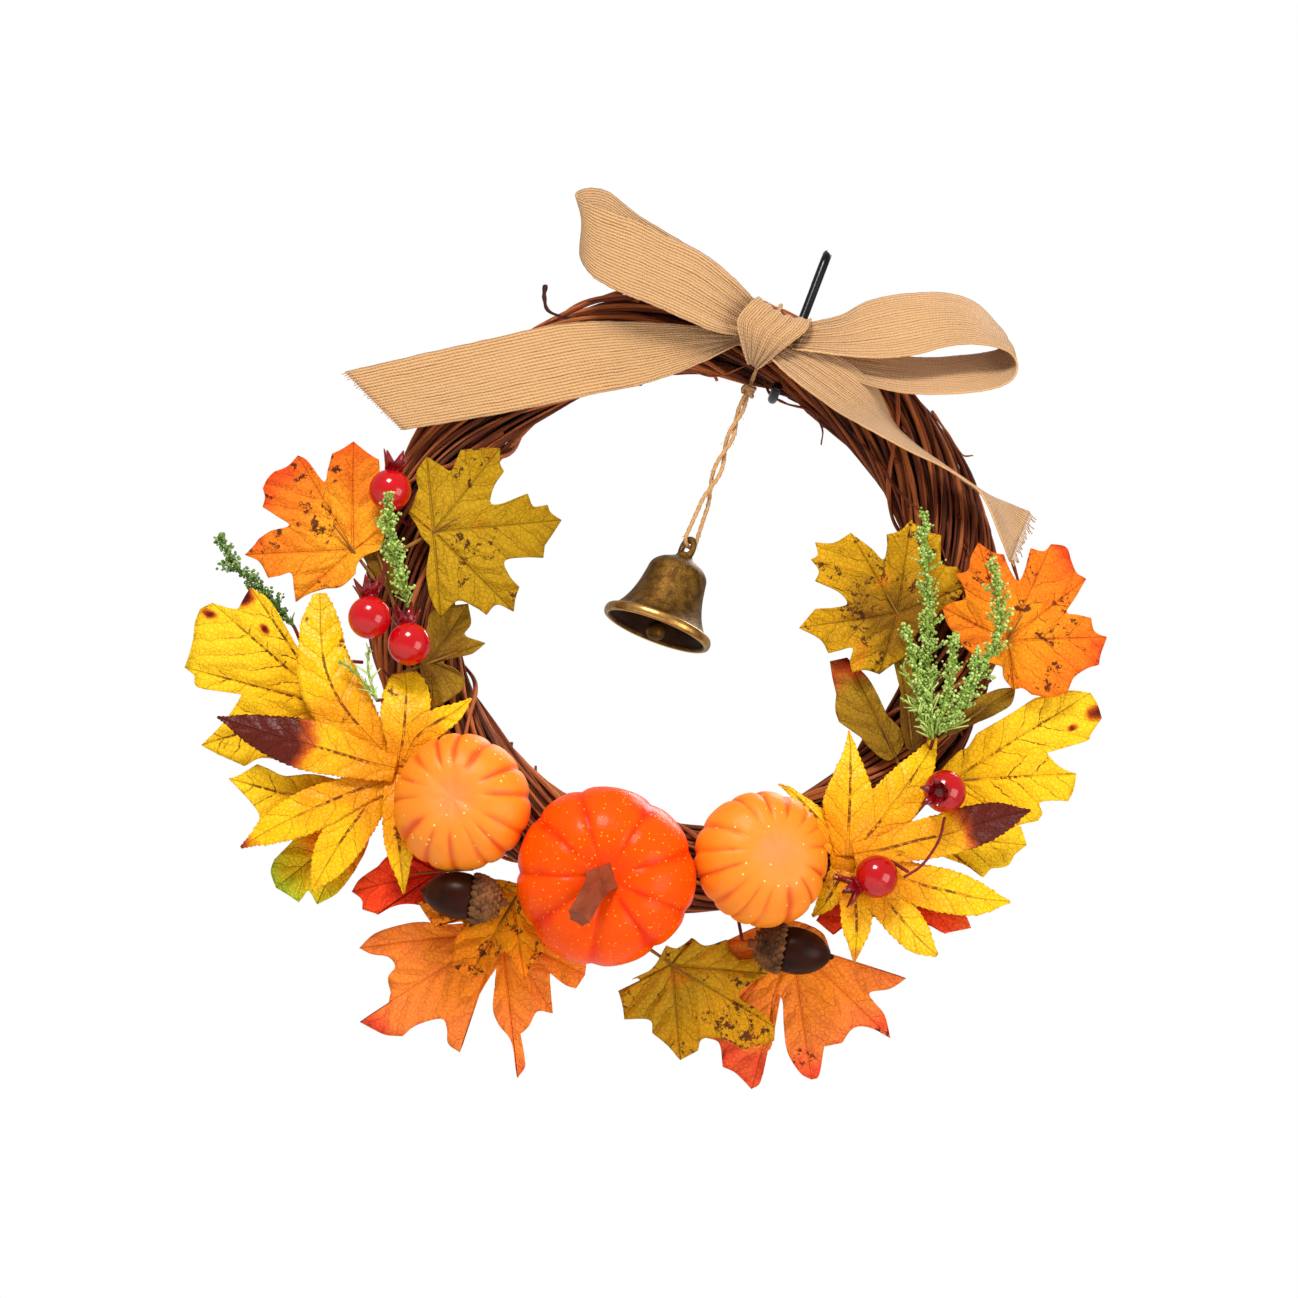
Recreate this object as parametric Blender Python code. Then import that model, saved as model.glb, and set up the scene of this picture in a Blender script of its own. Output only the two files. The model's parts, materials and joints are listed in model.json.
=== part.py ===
"""Harvest door wreath: a grapevine ring on a wire hanger, with a burlap bow, a bell on twine,
leaves, foam pumpkins, acorns, berries and greenery. Metres, +Z up, front faces -Y.

The origin is the point that hangs on the door's nail: the inside top of the hanger's curl.
Pieces are laid out from the ring's centre, in millimetres: (x, depth, z), where depth is
negative towards the front.
"""

import math

import bmesh
import bpy
from mathutils import Matrix, Vector

MM = 0.001

# ---- driving dimensions, in millimetres ----
RING_RADIUS = 86.0  # centreline of the vine bundle
OUTER_CANES = 4
OUTER_LAPS = 3
OUTER_CANE_R = 10.6  # distance of the outer canes from the bundle's centreline
OUTER_CANE_THICK = 4.6
CORE_LAPS = 3
CORE_CANE_R = 3.4
CORE_CANE_THICK = 5.0
TWISTS_PER_LAP = 2
STATIONS_PER_LAP = 24
BUNDLE_RADIUS = OUTER_CANE_R + OUTER_CANE_THICK / 2

WIRE_THICK = 3.0  # hanger wire
HOOK_X = 3.5
HOOK_ARC_R = BUNDLE_RADIUS + 0.5 + WIRE_THICK / 2
CURL_R = 6.0
SHANK_TOP = 122.5
HOOK_Z = math.sqrt(RING_RADIUS**2 - HOOK_X**2)
CURL_INSIDE_Z = SHANK_TOP + CURL_R - WIRE_THICK / 2  # the hanging point, above the ring's centre
RING_CENTRE = Vector((-HOOK_X, -(HOOK_ARC_R + CURL_R), -CURL_INSIDE_Z))

RIBBON_WIDTH = 25.0
RIBBON_THICK = 1.0
TWINE_THICK = 1.3
TWINE_X = -4.7
TWINE_Y = -4.0
TWINE_LOOP_R = BUNDLE_RADIUS + 0.4 + TWINE_THICK / 2

BELL_RIM_R = 17.5
BELL_TALL = 24.1
BELL_WALL = 1.1
BELL_RIM_Z = -14.7
EYE_HOLE_R = 1.5
EYE_THICK = 1.8
EYE_Z = BELL_RIM_Z + BELL_TALL + 4.6
TWINE_BEND_R = 2.6
TWINE_LOW_Z = EYE_Z + EYE_HOLE_R - 0.3 - TWINE_THICK / 2
SWING_AZIMUTH = math.radians(45)

BERRY_R = 6.5
LEAF_THICK = 0.7
LEAF_RISE = 1.2  # how far a leaf's longest tip stands forward of its middle
LAYER = [-16.3, -18.6, -20.9, -23.2, -25.5]  # depths of the leaf layers, back to front

# ---- colours (red, green, blue), roughness, metallic ----
BARK = ((0.16, 0.07, 0.035), 0.85, 0.0)
VINE = ((0.22, 0.10, 0.05), 0.85, 0.0)
DARK_METAL = ((0.03, 0.03, 0.035), 0.25, 1.0)
BURLAP = ((0.62, 0.37, 0.17), 0.95, 0.0)
JUTE = ((0.55, 0.36, 0.18), 0.95, 0.0)
BRASS = ((0.33, 0.22, 0.09), 0.38, 1.0)
PALE_ORANGE = ((0.90, 0.29, 0.05), 0.5, 0.0)
DEEP_ORANGE = ((0.86, 0.11, 0.01), 0.3, 0.0)
STEM_BROWN = ((0.19, 0.06, 0.03), 0.55, 0.0)
NUT_BROWN = ((0.08, 0.03, 0.015), 0.3, 0.0)
CAP_BROWN = ((0.18, 0.09, 0.04), 0.85, 0.0)
BERRY_RED = ((0.55, 0.005, 0.01), 0.12, 0.0)
WIRE_RED = ((0.16, 0.02, 0.02), 0.5, 0.0)
GREEN = ((0.22, 0.38, 0.06), 0.8, 0.0)
OLIVE = ((0.40, 0.26, 0.02), 0.7, 0.0)
DULL_OLIVE = ((0.26, 0.18, 0.03), 0.7, 0.0)
YELLOW = ((0.93, 0.52, 0.02), 0.6, 0.0)
ORANGE = ((0.92, 0.30, 0.02), 0.65, 0.0)
PEACH = ((0.93, 0.25, 0.05), 0.65, 0.0)
RED = ((0.70, 0.04, 0.02), 0.6, 0.0)


# ---- shared helpers ----
def clear_scene():
    for obj in list(bpy.data.objects):
        bpy.data.objects.remove(obj, do_unlink=True)


def at(x, depth, z):
    """A point given from the ring's centre in millimetres, in metres from the origin."""
    return RING_CENTRE * MM + Vector((x, depth, z)) * MM


def finish(name, look):
    """The material of one sub-part: its colour, roughness and metallic value."""
    colour, roughness, metallic = look
    material = bpy.data.materials.new(name)
    material.use_nodes = True
    shader = material.node_tree.nodes["Principled BSDF"]
    shader.inputs["Base Color"].default_value = (*colour, 1.0)
    shader.inputs["Roughness"].default_value = roughness
    shader.inputs["Metallic"].default_value = metallic
    material.diffuse_color = (*colour, 1.0)
    return material


def add_mesh(name, bm, look, origin=None):
    """Makes an object of a bmesh that is in world space, with its origin at a given point."""
    origin = origin or at(0, 0, 0)
    bmesh.ops.translate(bm, verts=bm.verts, vec=-origin)
    bmesh.ops.recalc_face_normals(bm, faces=bm.faces)
    mesh = bpy.data.meshes.new(name)
    bm.to_mesh(mesh)
    bm.free()
    mesh.shade_smooth()
    mesh.set_sharp_from_angle(angle=math.radians(40))
    mesh.materials.append(finish(name, look))
    obj = bpy.data.objects.new(name, mesh)
    obj.location = origin
    bpy.context.collection.objects.link(obj)
    return obj


def add_tube(name, points, thick, look, sides=8, closed=False, swell=None):
    """A round tube along points, which are in metres. swell gives each point's share of thick."""
    curve = bpy.data.curves.new(name, "CURVE")
    curve.dimensions = "3D"
    curve.bevel_depth = thick / 2 * MM
    curve.bevel_resolution = sides // 2 - 2
    curve.use_fill_caps = True
    spline = curve.splines.new("POLY")
    spline.points.add(len(points) - 1)
    spline.use_cyclic_u = closed
    origin = points[0]
    for index, point in enumerate(points):
        spline.points[index].co = (*(point - origin), 1.0)
        spline.points[index].radius = swell[index] if swell else 1.0
    curve.materials.append(finish(name, look))
    obj = bpy.data.objects.new(name, curve)
    obj.location = origin
    bpy.context.collection.objects.link(obj)
    return obj


def smooth_path(stops, steps):
    """Points on a Catmull-Rom curve through the stops, with this many steps between two stops."""
    stops = [Vector(stop) for stop in stops]
    padded = [2 * stops[0] - stops[1], *stops, 2 * stops[-1] - stops[-2]]
    points = []
    for a, b, c, d in zip(padded, padded[1:], padded[2:], padded[3:]):
        for step in range(steps):
            t = step / steps
            bend = (2 * a - 5 * b + 4 * c - d) * t**2 + (3 * b - a - 3 * c + d) * t**3
            points.append((2 * b + (c - a) * t + bend) / 2)
    return [*points, stops[-1]]


def placed(points):
    return [at(*point) for point in points]


def add_lathe(name, profile, look, place, segments=24):
    """Turns a closed (radius, height) profile about its axis and puts it where place says."""
    bm = bmesh.new()
    ring = [bm.verts.new((radius * MM, 0, height * MM)) for radius, height in profile]
    edges = [bm.edges.new(pair) for pair in zip(ring, ring[1:])]
    bmesh.ops.spin(
        bm,
        geom=ring + edges,
        cent=(0, 0, 0),
        axis=(0, 0, 1),
        angle=math.tau,
        steps=segments,
        use_merge=True,
    )
    bmesh.ops.remove_doubles(bm, verts=bm.verts, dist=1e-6)
    bmesh.ops.transform(bm, matrix=place, verts=bm.verts)
    return add_mesh(name, bm, look, place.translation)


def aimed(point, direction):
    """A placement whose +Z points along a direction."""
    turn = Vector(direction).normalized().to_track_quat("Z", "Y").to_matrix().to_4x4()
    return Matrix.Translation(point) @ turn


# ---- ring ----
def on_bundle(clock, radius, turn):
    """A point around the bundle's centreline. clock runs clockwise from the top, in radians;
    turn is 0 at the outer edge and a quarter turn at the front."""
    reach = RING_RADIUS + radius * math.cos(turn)
    return at(reach * math.sin(clock), -radius * math.sin(turn), reach * math.cos(clock))


def add_cane(name, radius, thick, laps, slots, slot, look):
    """One long cane that laps the ring and steps to the next slot of the bundle on each lap."""
    twist = TWISTS_PER_LAP + 1 / slots
    count = STATIONS_PER_LAP * laps
    points = []
    for station in range(count):
        clock = math.tau * (station + 0.5) / STATIONS_PER_LAP
        turn = math.tau * slot / slots + twist * clock
        points.append(on_bundle(clock, radius, turn))
    return add_tube(name, points, thick, look, sides=6)


def build_ring():
    slots = OUTER_CANES * OUTER_LAPS
    for index in range(OUTER_CANES):
        name = f"vine_cane_{index + 1}"
        slot = index * OUTER_LAPS
        add_cane(name, OUTER_CANE_R, OUTER_CANE_THICK, OUTER_LAPS, slots, slot, BARK)
    add_cane("vine_core", CORE_CANE_R, CORE_CANE_THICK, CORE_LAPS, CORE_LAPS, 0, BARK)
    build_binding()


def build_binding():
    """A thin vine that spirals around the bundle, clear of the bow and the hanger."""
    first, last, wraps, steps = math.radians(24), math.radians(330), 5.0, 64
    points = []
    for step in range(steps + 1):
        part = step / steps
        clock = first + (last - first) * part
        points.append(on_bundle(clock, BUNDLE_RADIUS + 1.6, math.tau * wraps * part + 1.0))
    add_tube("binding_vine", points, 1.6, VINE, sides=6)


# ---- hanger ----
def build_hanger():
    """An S of stiff wire: a cradle under the bundle, a straight shank and a curl for the nail."""
    points = []
    for degrees in range(-60, -181, -12):
        a = math.radians(degrees)
        points.append(at(HOOK_X, -HOOK_ARC_R * math.cos(a), HOOK_Z + HOOK_ARC_R * math.sin(a)))
    points.append(at(HOOK_X, HOOK_ARC_R, (HOOK_Z + SHANK_TOP) / 2))
    for degrees in range(180, -41, -20):
        a = math.radians(degrees)
        depth = HOOK_ARC_R + CURL_R + CURL_R * math.cos(a)
        points.append(at(HOOK_X, depth, SHANK_TOP + CURL_R * math.sin(a)))
    add_tube("hanger_hook", points, WIRE_THICK, DARK_METAL, sides=10)


# ---- bow ----
def add_strip(name, middles, sides, look, thick=RIBBON_THICK):
    """A ribbon: middles are points in millimetres, sides the half-width vector at each one."""
    bm = bmesh.new()
    count = len(middles)
    bmesh.ops.create_grid(bm, x_segments=count - 1, y_segments=1, size=1.0)
    bm.verts.ensure_lookup_table()
    for vert in bm.verts:
        index = round((vert.co.x + 1) / 2 * (count - 1))
        side = Vector(sides[index]) * (1 if vert.co.y > 0 else -1)
        vert.co = at(*(Vector(middles[index]) + side))
    obj = add_mesh(name, bm, look)
    shell = obj.modifiers.new("ribbon thickness", "SOLIDIFY")
    shell.thickness = thick * MM
    shell.offset = 0
    return obj


def build_bow_knot():
    """The gathered band round the bow's middle: puffed in front, pinched below, open behind."""
    stops = [(-17.4, 88.4), (-18.6, 91.2), (-21.8, 92.3), (-26.2, 90.4), (-29.0, 85.6), (-28.2, 80.0),
             (-24.8, 75.2), (-21.2, 72.4), (-18.0, 74.0), (-17.3, 79.5), (-17.3, 86.4)]
    path = smooth_path([(0, depth, z) for depth, z in stops], 3)
    middles, sides = [], []
    for _, depth, z in path:
        narrow = min(1.0, max(0.0, (84.0 - z) / 11.6))
        middles.append((-4.6 - 1.5 * narrow, depth, z))
        sides.append((10.6 - 7.4 * narrow, 0, 0))
    add_strip("bow_knot", middles, sides, BURLAP)


def build_bow_loops():
    left = smooth_path(
        [(-17, -22.5, 87.5), (-40, -26, 89.5), (-62, -30, 91), (-73.5, -27, 91.5), (-66, -20.5, 90.5),
         (-40, -19.3, 87.8), (-20, -19.4, 87.2)], 4)
    last = len(left) - 1
    halves = [8.5 + 4.0 * min(1, step / 6, (last - step) / 6) for step in range(last + 1)]
    add_strip("bow_loop_left", left, [(0, 0, half) for half in halves], BURLAP)
    right = smooth_path(
        [(8.5, -25, 95.5), (24, -26, 103), (46, -26, 112.5), (62, -26, 111.5), (70, -26, 103.0),
         (61, -26, 94.5), (42, -25, 89), (24, -25, 87), (10, -25, 86)], 4)
    slant = Vector((0, 9.0, 7.0))
    last = len(right) - 1
    shares = [min(1, 0.35 + min(step, last - step) / 9) for step in range(last + 1)]
    add_strip("bow_loop_right", right, [slant * share for share in shares], BURLAP)


def build_bow_tails():
    stops = [(-18.5, -17.5, 73.2), (-45, -17.3, 62.2), (-72, -17.2, 49), (-97, -17.5, 33), (-113, -18, 19.5)]
    left = smooth_path(stops, 4)
    last = len(left) - 1
    across = Vector((5.2, 0, 11.0))
    sides = [across * min(1, 0.55 + 1.2 * index / last) for index in range(last + 1)]
    add_strip("bow_tail_left", left, sides, BURLAP)
    stops = [(9.5, -24, 79), (30, -27, 77.5), (54, -28.5, 70.5), (76, -28.5, 63.5), (92, -27, 51.2)]
    right = smooth_path(stops, 4)
    last = len(right) - 1
    sides = []
    for index in range(last + 1):
        roll = math.radians(50 + 36 * math.sin(math.pi * index / last))
        half = RIBBON_WIDTH / 2 * min(1, 0.5 + index / last)
        sides.append(Vector((0.4 * math.cos(roll), math.sin(roll), 0.9 * math.cos(roll))) * half * 0.92)
    add_strip("bow_tail_right", right, sides, BURLAP)


# ---- twine ----
def build_twine():
    loop = []
    for step in range(20):
        a = math.tau * step / 20
        height = twine_ring_z() + TWINE_LOOP_R * math.sin(a)
        loop.append(at(TWINE_X, -TWINE_LOOP_R * math.cos(a), height))
    add_tube("twine_loop", loop, TWINE_THICK, JUTE, closed=True)
    build_twine_knot()
    build_hanging_twine()


def twine_ring_z():
    return math.sqrt(RING_RADIUS**2 - TWINE_X**2)


def twine_pivot():
    """The lowest point of the twine's loop around the bundle, where the knot hangs."""
    return twine_ring_z() - math.sqrt(TWINE_LOOP_R**2 - TWINE_Y**2)


def build_twine_knot():
    middle = at(TWINE_X, TWINE_Y, twine_pivot() - 3.5)
    bm = bmesh.new()
    bmesh.ops.create_uvsphere(bm, u_segments=10, v_segments=6, radius=2.4 * MM)
    bmesh.ops.scale(bm, vec=(1.05, 1.0, 1.0), verts=bm.verts)
    bmesh.ops.translate(bm, verts=bm.verts, vec=middle)
    add_mesh("twine_knot", bm, JUTE, at(TWINE_X, TWINE_Y, twine_pivot()))


def build_hanging_twine():
    """The doubled twine: down from the knot, through the bell's eye and up again, in one piece."""
    top = twine_pivot() - 7.2
    bottom = TWINE_LOW_Z + TWINE_BEND_R
    points = []
    for step in range(16):
        part = step / 16
        points.append(strand(part, top + (bottom - top) * part, 1))
    for step in range(7):
        a = math.pi * step / 6
        points.append(strand_point(TWINE_BEND_R * math.cos(a), bottom - TWINE_BEND_R * math.sin(a)))
    for step in range(1, 17):
        part = 1 - step / 16
        points.append(strand(part, top + (bottom - top) * part, -1))
    add_tube("twine", points, TWINE_THICK, JUTE)


def strand(part, z, side):
    """A strand lies beside its twin at the top and spreads towards the bell's eye."""
    return strand_point(side * (0.95 + (TWINE_BEND_R - 0.95) * part**2), z)


def strand_point(offset, z):
    x = TWINE_X + offset * math.cos(SWING_AZIMUTH)
    return at(x, TWINE_Y + offset * math.sin(SWING_AZIMUTH), z)


# ---- bell ----
def build_bell():
    """A cast bell: flared shell with a rolled rim, a neck and a round eye for the twine."""
    outer = [(0.0, 27.4), (1.5, 27.4), (1.6, 24.9), (4.2, 24.1), (7.4, 22.9), (9.3, 20.6), (9.9, 17.5),
             (10.8, 13.0), (12.3, 8.5), (14.4, 4.8), (16.4, 2.9), (17.5, 1.9), (17.4, 0.6), (16.7, 0.0)]
    inner = [(15.6, 0.5), (15.2, 1.8), (13.4, 3.6), (11.2, 7.8), (9.7, 12.6), (8.8, 17.3), (8.2, 20.0),
             (6.8, 21.8), (4.0, 22.9), (0.0, 23.0)]
    place = Matrix.Translation(at(TWINE_X, TWINE_Y, BELL_RIM_Z))
    bell = add_lathe("bell", outer + inner, BRASS, place)
    eye = build_eye_helper()
    join = bell.modifiers.new("cast eye", "BOOLEAN")
    join.operation = "UNION"
    join.object = eye


def build_eye_helper():
    """The eye's ring, joined to the bell's neck; its hole faces along the swing axis."""
    bm = bmesh.new()
    major = EYE_HOLE_R + EYE_THICK / 2
    section = bmesh.ops.create_circle(bm, segments=8, radius=EYE_THICK / 2 * MM)["verts"]
    bmesh.ops.rotate(bm, verts=section, cent=(0, 0, 0), matrix=Matrix.Rotation(math.pi / 2, 3, "X"))
    bmesh.ops.translate(bm, verts=section, vec=(major * MM, 0, 0))
    bmesh.ops.spin(bm, geom=bm.verts[:] + bm.edges[:], cent=(0, 0, 0), axis=(0, 0, 1), angle=math.tau,
                   steps=16, use_merge=True)
    direction = Vector((math.cos(SWING_AZIMUTH), math.sin(SWING_AZIMUTH), 0))
    bmesh.ops.transform(bm, matrix=aimed(at(TWINE_X, TWINE_Y, EYE_Z), direction), verts=bm.verts)
    eye = add_mesh("eye_helper", bm, BRASS)
    eye.hide_render = True
    eye.display_type = "WIRE"
    return eye


def build_clapper():
    """A staple under the crown, and a clapper whose ring hangs on it."""
    bar = BELL_RIM_Z + 18.0
    bend = 2.0
    points = [strand_point(bend, BELL_RIM_Z + 22.2)]
    for step in range(9):
        a = math.pi * step / 8
        points.append(strand_point(bend * math.cos(a), bar + bend - bend * math.sin(a)))
    points.append(strand_point(-bend, BELL_RIM_Z + 22.2))
    add_tube("clapper_staple", points, 1.0, DARK_METAL)
    hole = bar - 0.3
    points = []
    normal = Vector((math.cos(SWING_AZIMUTH), math.sin(SWING_AZIMUTH), 0))
    across = Vector((-normal.y, normal.x, 0))
    for step in range(15):
        a = math.radians(-90 + 24 * step)
        point = Vector((TWINE_X, TWINE_Y, hole + 1.6 * math.sin(a))) + across * 1.6 * math.cos(a)
        points.append(at(*point))
    place = Matrix.Translation(at(TWINE_X, TWINE_Y, BELL_RIM_Z - 2.6))
    top = hole - 1.3 - (BELL_RIM_Z - 2.6)
    profile = [(0.0, 0.0), (1.7, 0.4), (2.8, 1.6), (3.1, 3.0), (2.6, 4.6), (1.3, 5.8), (0.55, 6.6),
               (0.55, top), (0.0, top)]
    clapper = add_lathe("clapper", profile, BRASS, place, segments=12)
    ring = add_tube("clapper_ring_helper", points, 1.0, BRASS, closed=True)
    ring_mesh = bpy.data.meshes.new_from_object(ring)
    helper = bpy.data.objects.new("clapper_ring", ring_mesh)
    helper.location = ring.location
    bpy.context.collection.objects.link(helper)
    bpy.data.objects.remove(ring)
    helper.hide_render = True
    helper.display_type = "WIRE"
    join = clapper.modifiers.new("wire ring", "BOOLEAN")
    join.operation = "UNION"
    join.object = helper


# ---- pumpkins ----
def add_pumpkin(name, middle, radius, half_depth, ribs, facing, look):
    """A ribbed, flattened foam ball whose axis points along facing, with a dimple at each end."""
    bm = bmesh.new()
    bmesh.ops.create_uvsphere(bm, u_segments=2 * ribs, v_segments=12, radius=1.0)
    for vert in bm.verts:
        around = math.atan2(vert.co.y, vert.co.x)
        outward = math.hypot(vert.co.x, vert.co.y)
        groove = 1 - 0.045 * (0.5 - 0.5 * math.cos(ribs * around)) * min(1, 1.6 * outward)
        dimple = 1 - 0.30 * math.exp(-((outward / 0.3) ** 2))
        vert.co.x *= radius * groove * MM
        vert.co.y *= radius * groove * MM
        vert.co.z *= half_depth * dimple * groove * MM
    bmesh.ops.transform(bm, matrix=aimed(at(*middle), facing), verts=bm.verts)
    add_mesh(name, bm, look, at(*middle))


def build_pumpkins():
    ribs = 12
    add_pumpkin("pumpkin_left", (-40.7, -36.2, -92.0), 20.6, 15.0, ribs, (-0.22, -1, -0.12), PALE_ORANGE)
    add_pumpkin("pumpkin_middle", (7.4, -37.0, -97.4), 26.8, 20.5, ribs, (-0.02, -1, -0.18), DEEP_ORANGE)
    add_pumpkin("pumpkin_right", (49.6, -36.0, -75.2), 20.4, 14.5, ribs, (0.25, -1, 0.1), PALE_ORANGE)
    stem = smooth_path([(6.2, -54.8, -103.6), (5.3, -59.8, -108.6), (4.2, -62.6, -115.5)], 4)
    swell = [1.15, 1.0, 0.9, 0.84, 0.82, 0.85, 0.9, 0.96, 1.05]
    add_tube("pumpkin_stem", placed(stem), 6.0, STEM_BROWN, sides=6, swell=swell)


# ---- acorns and berries ----
def add_acorn(side, cap_middle, direction):
    direction = Vector(direction).normalized()
    cap = [(0.0, -8.2), (1.3, -8.0), (1.5, -5.8), (4.6, -4.9), (7.2, -2.4), (7.8, 0.4), (7.4, 2.4),
           (5.0, 2.4), (0, 2.0)]
    nut = [(0.0, 2.9), (6.4, 3.1), (7.1, 6.0), (6.9, 9.5), (5.6, 13.0), (3.0, 15.6), (1.0, 16.4),
           (0.7, 17.6), (0, 18.0)]
    place = aimed(at(*cap_middle), direction)
    add_lathe(f"acorn_cap_{side}", cap, CAP_BROWN, place, segments=16)
    add_lathe(f"acorn_nut_{side}", nut, NUT_BROWN, place, segments=16)


def add_berry(name, middle, crown):
    """A round berry with a short flared crown, which points along crown."""
    profile = [(0.0, -BERRY_R), (3.25, -5.63), (5.63, -3.25), (BERRY_R, 0.0), (5.63, 3.25), (3.25, 5.63),
               (2.0, 6.6), (2.6, 9.2), (3.3, 10.6), (2.2, 9.6), (0.9, 7.4), (0.0, 7.2)]
    add_lathe(name, profile, BERRY_RED, aimed(at(*middle), crown), segments=12)


def build_fruit():
    add_acorn("left", (-25.0, -31.8, -116.4), (-1.0, 0.05, -0.22))
    add_acorn("right", (62.8, -27.5, -97.6), (1.0, -0.02, 0.2))
    add_berry("berry_left_1", (-96.2, -27.4, -8.2), (-0.2, -0.15, 1))
    add_berry("berry_left_2", (-87.0, -35.0, -49.0), (-0.45, 0.1, 1))
    add_berry("berry_left_3", (-73.0, -33.5, -52.0), (-0.5, 0.5, 1))
    add_berry("berry_right_1", (84.0, -34.5, -67.4), (-0.75, 0.05, -0.75))
    add_berry("berry_right_2", (94.6, -34.0, -35.3), (-0.3, -1, -0.35))
    stops = [(-97.6, -24.0, -15.8), (-99.5, -26.5, -27), (-96.5, -28.6, -38), (-92.4, -30.6, -46)]
    add_tube("berry_wire_left", placed(smooth_path(stops, 4)), 0.9, WIRE_RED, sides=6)
    stops = [(91.6, -36.0, -65.0), (95.4, -37.5, -59.6), (97.6, -37.0, -51), (97.0, -36.5, -43.2)]
    add_tube("berry_wire_right", placed(smooth_path(stops, 4)), 0.9, WIRE_RED, sides=6)


# ---- leaves ----
def valley(first, second, cut):
    """The notch between two neighbouring tips, each an (angle, length), deeper where they stand apart."""
    gap = (second[0] - first[0]) % 360
    depth = cut * min(1.0, gap / 45)
    return (first[0] + gap / 2, min(first[1], second[1]) * (1 - depth))


def leaf_outline(tips, cut, stalk):
    """Polar points (degrees, millimetres) of a lobed leaf about the foot of its blade."""
    angle, length = stalk
    base = [(angle - 60, 5.5), (angle - 14, 3.6), (angle - 50 / length, length)]
    base += [(angle + 50 / length, length), (angle + 14, 3.6), (angle + 60, 5.5)]
    tips = sorted(tips, key=lambda tip: (tip[0] - angle) % 360)
    outline = []
    for tip, after in zip(tips, tips[1:]):
        notch = valley(tip, after, cut)
        gap = (after[0] - tip[0]) % 360
        rise = 0.62 * tip[1] + 0.38 * notch[1]
        fall = 0.62 * after[1] + 0.38 * notch[1]
        outline.append(tip)
        if gap > 26:
            outline += [(tip[0] + gap * 0.2, rise), notch, (after[0] - gap * 0.2, fall)]
        else:
            outline.append(notch)
    outline.append(tips[-1])
    first = (tips[0][0] - 18, tips[0][1] * 0.6)
    last = (tips[-1][0] + 18, tips[-1][1] * 0.6)
    points = [first, *outline, last, *base]
    return sorted(points, key=lambda point: (point[0] - angle + 50 / length + 0.01) % 360)


def add_leaf(name, joint, layer, tips, stalk, cut, look):
    """A lobed leaf in one layer. joint is the (x, z) of the blade's foot; a tip is (angle, length)."""
    outline = leaf_outline(tips, cut, stalk)
    longest = max(length for _, length in outline)
    bm = bmesh.new()
    bmesh.ops.create_circle(bm, cap_ends=True, cap_tris=True, segments=len(outline), radius=1.0)
    rim = [vert for vert in bm.verts if vert.co.length > 0.5]
    rim.sort(key=lambda vert: math.atan2(vert.co.y, vert.co.x) % math.tau)
    hub = next(vert for vert in bm.verts if vert.co.length < 0.5)
    hub.co = at(joint[0], LAYER[layer], joint[1])
    for vert, (degrees, length) in zip(rim, outline):
        a = math.radians(degrees)
        depth = LAYER[layer] - LEAF_RISE * (length / longest) ** 2
        vert.co = at(joint[0] + length * math.cos(a), depth, joint[1] + length * math.sin(a))
    leaf = add_mesh(name, bm, look, at(joint[0], LAYER[layer], joint[1]))
    shell = leaf.modifiers.new("leaf thickness", "SOLIDIFY")
    shell.thickness = LEAF_THICK * MM
    shell.offset = 0


def build_left_leaves():
    tips = [(60, 18), (84, 24), (104, 32), (123, 30), (136, 30), (162, 31), (175, 27), (207, 29),
            (224, 27), (251, 23)]
    add_leaf("leaf_orange_left", (-105.5, -26.5), 1, tips, (325, 20), 0.45, ORANGE)
    tips = [(8, 34), (29, 39), (46, 31), (75, 34), (94, 27), (124, 17), (298, 25), (320, 30),
            (337, 34), (349, 30)]
    add_leaf("leaf_olive_left", (-78.7, -14.4), 3, tips, (190, 10), 0.5, OLIVE)
    tips = [(108, 14), (129, 24), (150, 12)]
    add_leaf("leaf_olive_strip", (-88.3, -30.2), 0, tips, (300, 7), 0.3, DULL_OLIVE)
    tips = [(10, 15), (302, 21), (336, 24), (356, 22)]
    add_leaf("leaf_brown_left", (-74.9, -37.4), 0, tips, (150, 7), 0.4, DULL_OLIVE)
    tips = [(138, 36), (145, 44), (155, 41), (165, 52), (185, 46), (192, 40), (217, 41), (238, 32)]
    add_leaf("leaf_yellow_left", (-89.9, -74.4), 2, tips, (330, 22), 0.45, YELLOW)
    tips = [(64, 32), (104, 30), (134, 61), (185, 56), (214, 52), (242, 47), (266, 38), (283, 36)]
    add_leaf("leaf_finger_left", (-64.3, -87.4), 4, tips, (18, 5.7), 0.72, YELLOW)
    tips = [(172, 31), (185, 39), (205, 29)]
    add_leaf("leaf_lobe_left", (-72.3, -102.7), 3, tips, (10, 12), 0.4, YELLOW)
    tips = [(205, 22), (222, 27), (244, 24), (262, 18)]
    add_leaf("leaf_green_left", (-67.5, -114.8), 0, tips, (45, 14), 0.3, RED)
    tips = [(165, 24), (186, 24), (206, 24), (230, 20)]
    add_leaf("leaf_red_left", (-41.1, -116.0), 1, tips, (60, 9), 0.3, RED)
    tips = [(209, 43), (235, 51), (248, 44), (273, 40), (297, 46), (322, 31), (340, 30), (356, 28)]
    add_leaf("leaf_peach_left", (-16.9, -119.5), 0, tips, (80, 18), 0.62, PEACH)
    tips = [(204, 22), (220, 27), (251, 30), (272, 25), (300, 25), (325, 17)]
    add_leaf("leaf_amber_left", (-15.9, -111.5), 2, tips, (75, 12), 0.4, ORANGE)


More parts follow.
